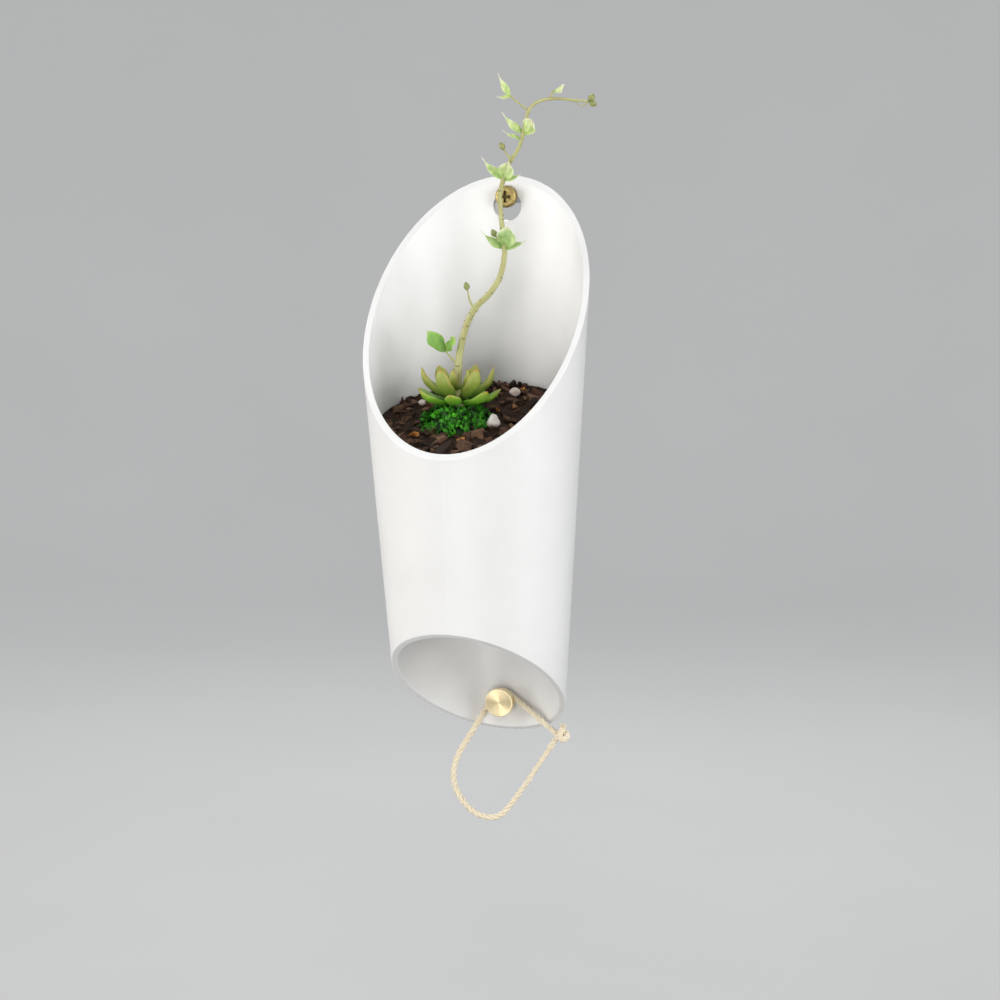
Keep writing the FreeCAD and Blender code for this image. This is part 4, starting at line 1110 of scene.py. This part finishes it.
def make_stage():
    floor_z = cad_low.z - FLOOR_DROP
    profile = [(FLOOR_REACH * step / 3, 0.0) for step in range(4)]
    for angle in (math.radians(90 * step / 12) for step in range(1, 13)):
        profile.append((FLOOR_REACH + SWEEP_RADIUS * math.sin(angle), SWEEP_RADIUS * (1 - math.cos(angle))))
    profile.append((FLOOR_REACH + SWEEP_RADIUS, WALL_TOP))
    form = Form()
    form.add_rings([
        [Vector((reach * math.cos(angle), reach * math.sin(angle), floor_z + rise)) for angle in turns(72)]
        for reach, rise in profile
    ], capped=False)
    mesh = form.mesh("floor")
    glow = (0.57, 0.575, 0.58, 1.0)
    look = Look("floor", Roughness=0.9, Specular_IOR_Level=0.1, Emission_Color=glow)
    tone = look.ramp(look.noise(3.0, 2.0), (0.3, 0.23, 0.23, 0.228), (0.7, 0.25, 0.25, 0.248))
    paths = look.tree.nodes.new("ShaderNodeLightPath").outputs
    seen = look.sum(look.sum(paths["Is Camera Ray"], paths["Is Glossy Ray"]), paths["Is Transmission Ray"])
    look.feed(look.shader, {"Base Color": tone, "Emission Strength": look.sum(seen, 0.56, "MULTIPLY")})
    mesh.materials.append(look.material)
    floor = show("floor", mesh)


# Each lamp's place and size in metres, its power in watts and its colour.
LAMPS = {
    "key_lamp": ((-1.35, -0.80, 0.15), 1.2, 17.5, (1.0, 0.985, 0.96)),
    "front_lamp": ((0.15, -1.50, -0.20), 0.7, 7.5, (1.0, 0.99, 0.97)),
    "fill_lamp": ((1.50, -0.60, 0.15), 1.1, 18.0, (0.97, 0.985, 1.0)),
    "back_lamp": ((-0.4, 1.4, 0.6), 1.0, 12.0, (1.0, 1.0, 1.0)),
}
LAMP_AIM = Vector((0.0, -0.04, -0.11))
SKY_STRENGTH = 0.95


def make_light():
    for name, (place, size, power, colour) in LAMPS.items():
        data = bpy.data.lights.new(name, "AREA")
        data.shape = "DISK"
        data.size = size
        data.energy = power
        data.color = colour
        lamp = show(name, data)
        lamp.location = place
        lamp.rotation_mode = "QUATERNION"
        lamp.rotation_quaternion = (LAMP_AIM - lamp.location).to_track_quat("-Z", "Y")
    world = bpy.data.worlds.new("sky")
    world.use_nodes = True
    sky = world.node_tree.nodes["Background"]
    sky.inputs["Color"].default_value = (0.95, 0.97, 1.0, 1.0)
    sky.inputs["Strength"].default_value = SKY_STRENGTH
    scene.world = world
    scene.view_settings.view_transform = "Standard"


make_camera()
make_stage()
make_light()
make_cord(cord_look())

paint("planter_shell", ceramic_look())
PEG_BRASS = ((0.2, 0.84, 0.67, 0.36), (0.55, 0.91, 0.77, 0.48), (0.9, 0.94, 0.83, 0.58))
SCREW_BRASS = ((0.3, 0.20, 0.15, 0.05), (0.5, 0.38, 0.29, 0.11), (0.75, 0.50, 0.41, 0.18))
head_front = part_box("wall_screw")[0].y
paint("key_peg", brass_look("peg_brass", PEG_AXIS, 900.0, 0.3, 0.75, PEG_BRASS))
# The screw's brass gets painted shade in its cross recess: the last two values are the recess's depth and reach.
paint("wall_screw", brass_look(
    "screw_brass", Vector((0.0, head_front, 0.0)), 700.0, 0.42, 0.3, SCREW_BRASS, (0.5 * MM, 2.4 * MM)))
paint("peg_screw", steel_look())
paint("peg_washer", plastic_look("washer_plastic", (0.72, 0.71, 0.68), (0.82, 0.81, 0.78), 0.4))
paint("wall_plug", plastic_look("plug_plastic", (0.36, 0.36, 0.37), (0.46, 0.46, 0.47), 0.45))

LOW_ROSETTE_COLOURS = (
    (0.0, 0.03, 0.09, 0.01), (0.3, 0.11, 0.33, 0.02), (0.75, 0.20, 0.48, 0.04),
    (0.95, 0.33, 0.50, 0.07), (0.995, 0.55, 0.24, 0.03),
)
HIGH_ROSETTE_COLOURS = (
    (0.0, 0.05, 0.10, 0.015), (0.3, 0.17, 0.25, 0.04), (0.75, 0.32, 0.38, 0.08),
    (0.955, 0.40, 0.43, 0.11), (0.995, 0.60, 0.20, 0.03),
)
THIN_LEAF_COLOURS = (
    (0.0, 0.34, 0.50, 0.17), (0.3, 0.52, 0.68, 0.32), (0.65, 0.60, 0.72, 0.42),
    (0.82, 0.74, 0.80, 0.58), (1.0, 0.86, 0.85, 0.74),
)
PAIRED_LEAF_COLOURS = (
    (0.0, 0.20, 0.33, 0.07), (0.4, 0.23, 0.43, 0.08), (0.8, 0.32, 0.52, 0.13), (1.0, 0.55, 0.62, 0.28),
)
BUD_COLOURS = ((0.0, 0.27, 0.32, 0.11), (0.6, 0.35, 0.38, 0.15), (1.0, 0.24, 0.20, 0.10))
stem = stalk_look()
stalk_points = make_stalk(stem)
stem_points = stalk_points + make_shoots(stem, stalk_points)
make_crown(stem)
low_leaf = leaf_look("rosette_low_leaf", LOW_ROSETTE_COLOURS, (0.36, 0.34, 0.06), 0.2, 0.12)
high_leaf = leaf_look("rosette_high_leaf", HIGH_ROSETTE_COLOURS, (0.46, 0.32, 0.07), 0.25, 0.12)
make_rosette((low_leaf, high_leaf, high_leaf))
make_stalk_leaves(
    leaf_look("paired_leaf", PAIRED_LEAF_COLOURS, (0.55, 0.66, 0.30), 0.3, 0.55, 0.75),
    leaf_look("stalk_leaf", THIN_LEAF_COLOURS, (0.80, 0.83, 0.66), 0.5, 0.45, 0.6),
    stem_points,
)
make_buds(leaf_look("bud", BUD_COLOURS, (0.3, 0.2, 0.08), 0.3, 0.2), stem_points)
bed = Bed()
make_soil(soil_look(), bed)
make_chips(bark_look(), bed)
make_pebbles(pebble_look())
make_moss(moss_look(), bed)
